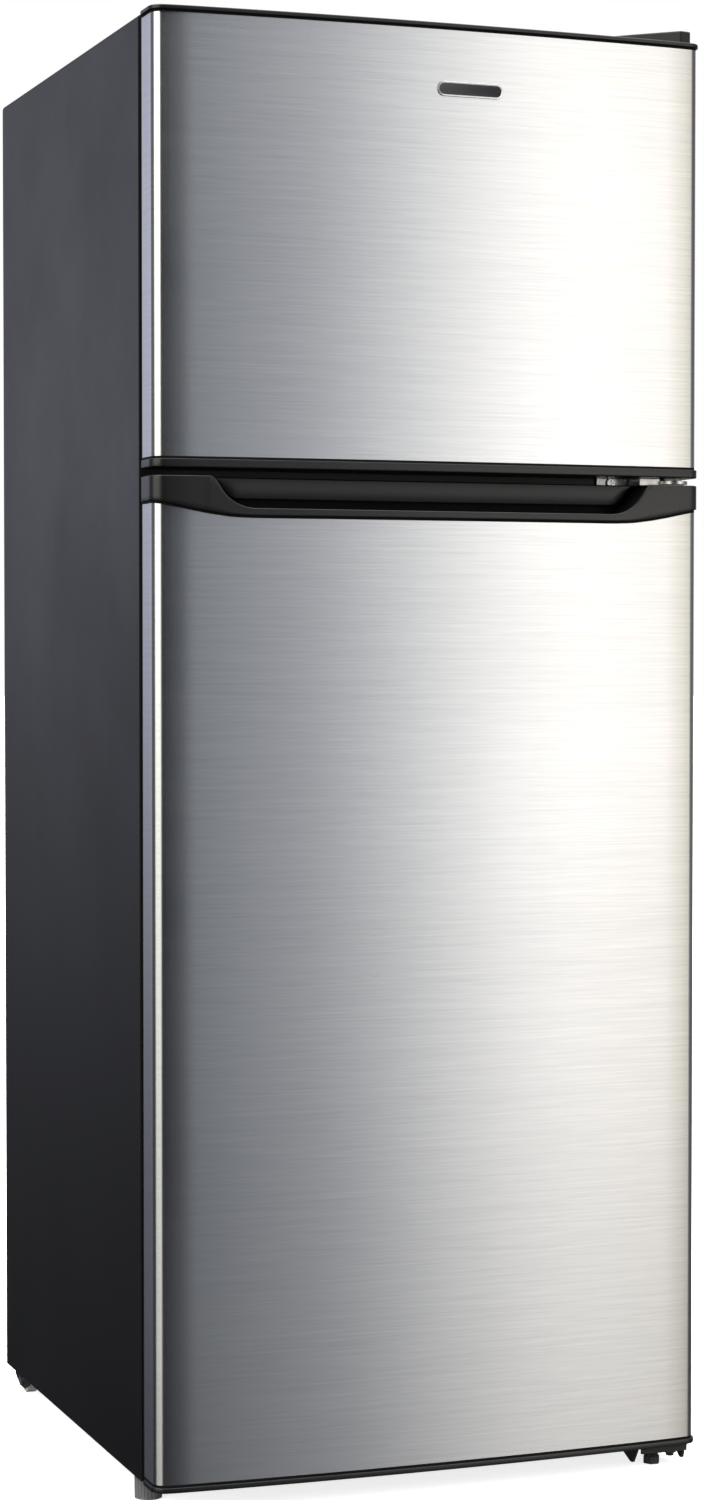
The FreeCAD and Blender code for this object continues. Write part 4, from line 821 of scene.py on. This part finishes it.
def world():
    """Studio surround: bright at the right front, dark at the left front, with a lit side and ceiling."""
    made = bpy.data.worlds.new("studio")
    bpy.context.scene.world = made
    made.use_nodes = True
    tree = made.node_tree
    tree.nodes.clear()
    coords = tree.nodes.new("ShaderNodeTexCoord")
    split = tree.nodes.new("ShaderNodeSeparateXYZ")
    tree.links.new(coords.outputs["Generated"], split.inputs[0])
    facing = math_node(tree, "MULTIPLY", split.outputs["Y"], -1.0)
    angle = math_node(tree, "ARCTAN2", split.outputs["X"], facing)
    turn = mapped(tree, angle, 0.0, 1.0, -math.pi, math.pi)
    height = mapped(tree, split.outputs["Z"], 0.0, 1.0, -1.0, 1.0)
    layers = []
    for around, rise in LAYERS:
        bearing = ramp(tree, turn, [((degrees + 180) / 360, colour) for degrees, colour in around])
        layers.append(colour_mix(tree, "MULTIPLY", bearing, ramp(tree, height, rise)))
    total = layers[0]
    for layer in layers[1:]:
        total = colour_mix(tree, "ADD", total, layer)
    studio = tree.nodes.new("ShaderNodeBackground")
    tree.links.new(total, studio.inputs["Color"])
    white = tree.nodes.new("ShaderNodeBackground")
    white.inputs["Color"].default_value = (1.0, 1.0, 1.0, 1)
    path = tree.nodes.new("ShaderNodeLightPath")
    mix = tree.nodes.new("ShaderNodeMixShader")
    tree.links.new(path.outputs["Is Camera Ray"], mix.inputs["Fac"])
    tree.links.new(studio.outputs[0], mix.inputs[1])
    tree.links.new(white.outputs[0], mix.inputs[2])
    out = tree.nodes.new("ShaderNodeOutputWorld")
    tree.links.new(mix.outputs[0], out.inputs["Surface"])


def area_light(name, location, target, size, power):
    """Add a soft light panel that neither the camera nor a reflection sees."""
    data = bpy.data.lights.new(name, "AREA")
    data.shape = "RECTANGLE"
    data.size, data.size_y = size
    data.energy = power
    obj = bpy.data.objects.new(name, data)
    obj.location = location
    obj.rotation_mode = "QUATERNION"
    obj.rotation_quaternion = (Vector(target) - Vector(location)).to_track_quat("-Z", "Y")
    obj.visible_camera = False
    obj.visible_glossy = False
    bpy.context.scene.collection.objects.link(obj)


CAMERA_PLACE = (-1.0786, -2.9970, 0.7874)
CAMERA_YAW = math.radians(20.13)        # from straight at the doors, towards the hinge side
CAMERA_DOWN = math.radians(1.742)
LENS, SENSOR = 75.1, 36.0               # in millimetres


def camera():
    """Camera at the height and distance of the reference view."""
    data = bpy.data.cameras.new("camera")
    data.sensor_fit = "AUTO"
    data.sensor_width = SENSOR
    data.lens = LENS
    data.clip_start, data.clip_end = 0.05, 60.0
    obj = bpy.data.objects.new("camera", data)
    level = math.cos(CAMERA_DOWN)
    forward = Vector((math.sin(CAMERA_YAW) * level, math.cos(CAMERA_YAW) * level, -math.sin(CAMERA_DOWN)))
    obj.location = CAMERA_PLACE
    obj.rotation_mode = "QUATERNION"
    obj.rotation_quaternion = forward.to_track_quat("-Z", "Y")
    bpy.context.scene.collection.objects.link(obj)
    bpy.context.scene.camera = obj


# ------------------------------------------------------------------ build

dress_cad_nodes()
door_skin("freezer_door_face", "freezer_door_skin", "freezer_door",
          lambda x: SKIN_HIGH.z + TOP_LAP - SEAM, FREEZER_LAP)
door_skin("fridge_door_face", "fridge_door_skin", "fridge_door",
          lambda x: TOP_Z + soft_height(CAP_LINE, x) - SEAM, FRIDGE_LAP)
end_cap("freezer_top_cap", "freezer_door_top_cap", "freezer_door", "freezer_door_skin", True, TOP_LAP)
end_cap("freezer_bottom_cap", "freezer_door_bottom_cap", "freezer_door", "freezer_door_skin", False,
        FREEZER_LAP)
end_cap("fridge_bottom_cap", "fridge_door_bottom_cap", "fridge_door", "fridge_door_skin", False, FRIDGE_LAP)
handle_cap()
emblem()
cabinet_wrap()
stage()
world()
area_light("key_right", (2.6, -3.4, 2.4), (0, 0, 0.8), (1.4, 2.2), 60)
area_light("fill_left", (-3.2, -2.0, 1.8), (0, 0, 0.7), (1.2, 2.4), 12)
area_light("top_soft", (0, -0.5, 3.4), (0, 0, 0.7), (2.5, 2.0), 30)
camera()
scene = bpy.context.scene
scene.view_settings.view_transform = "Standard"
scene.view_settings.look = "None"
scene.render.film_transparent = False
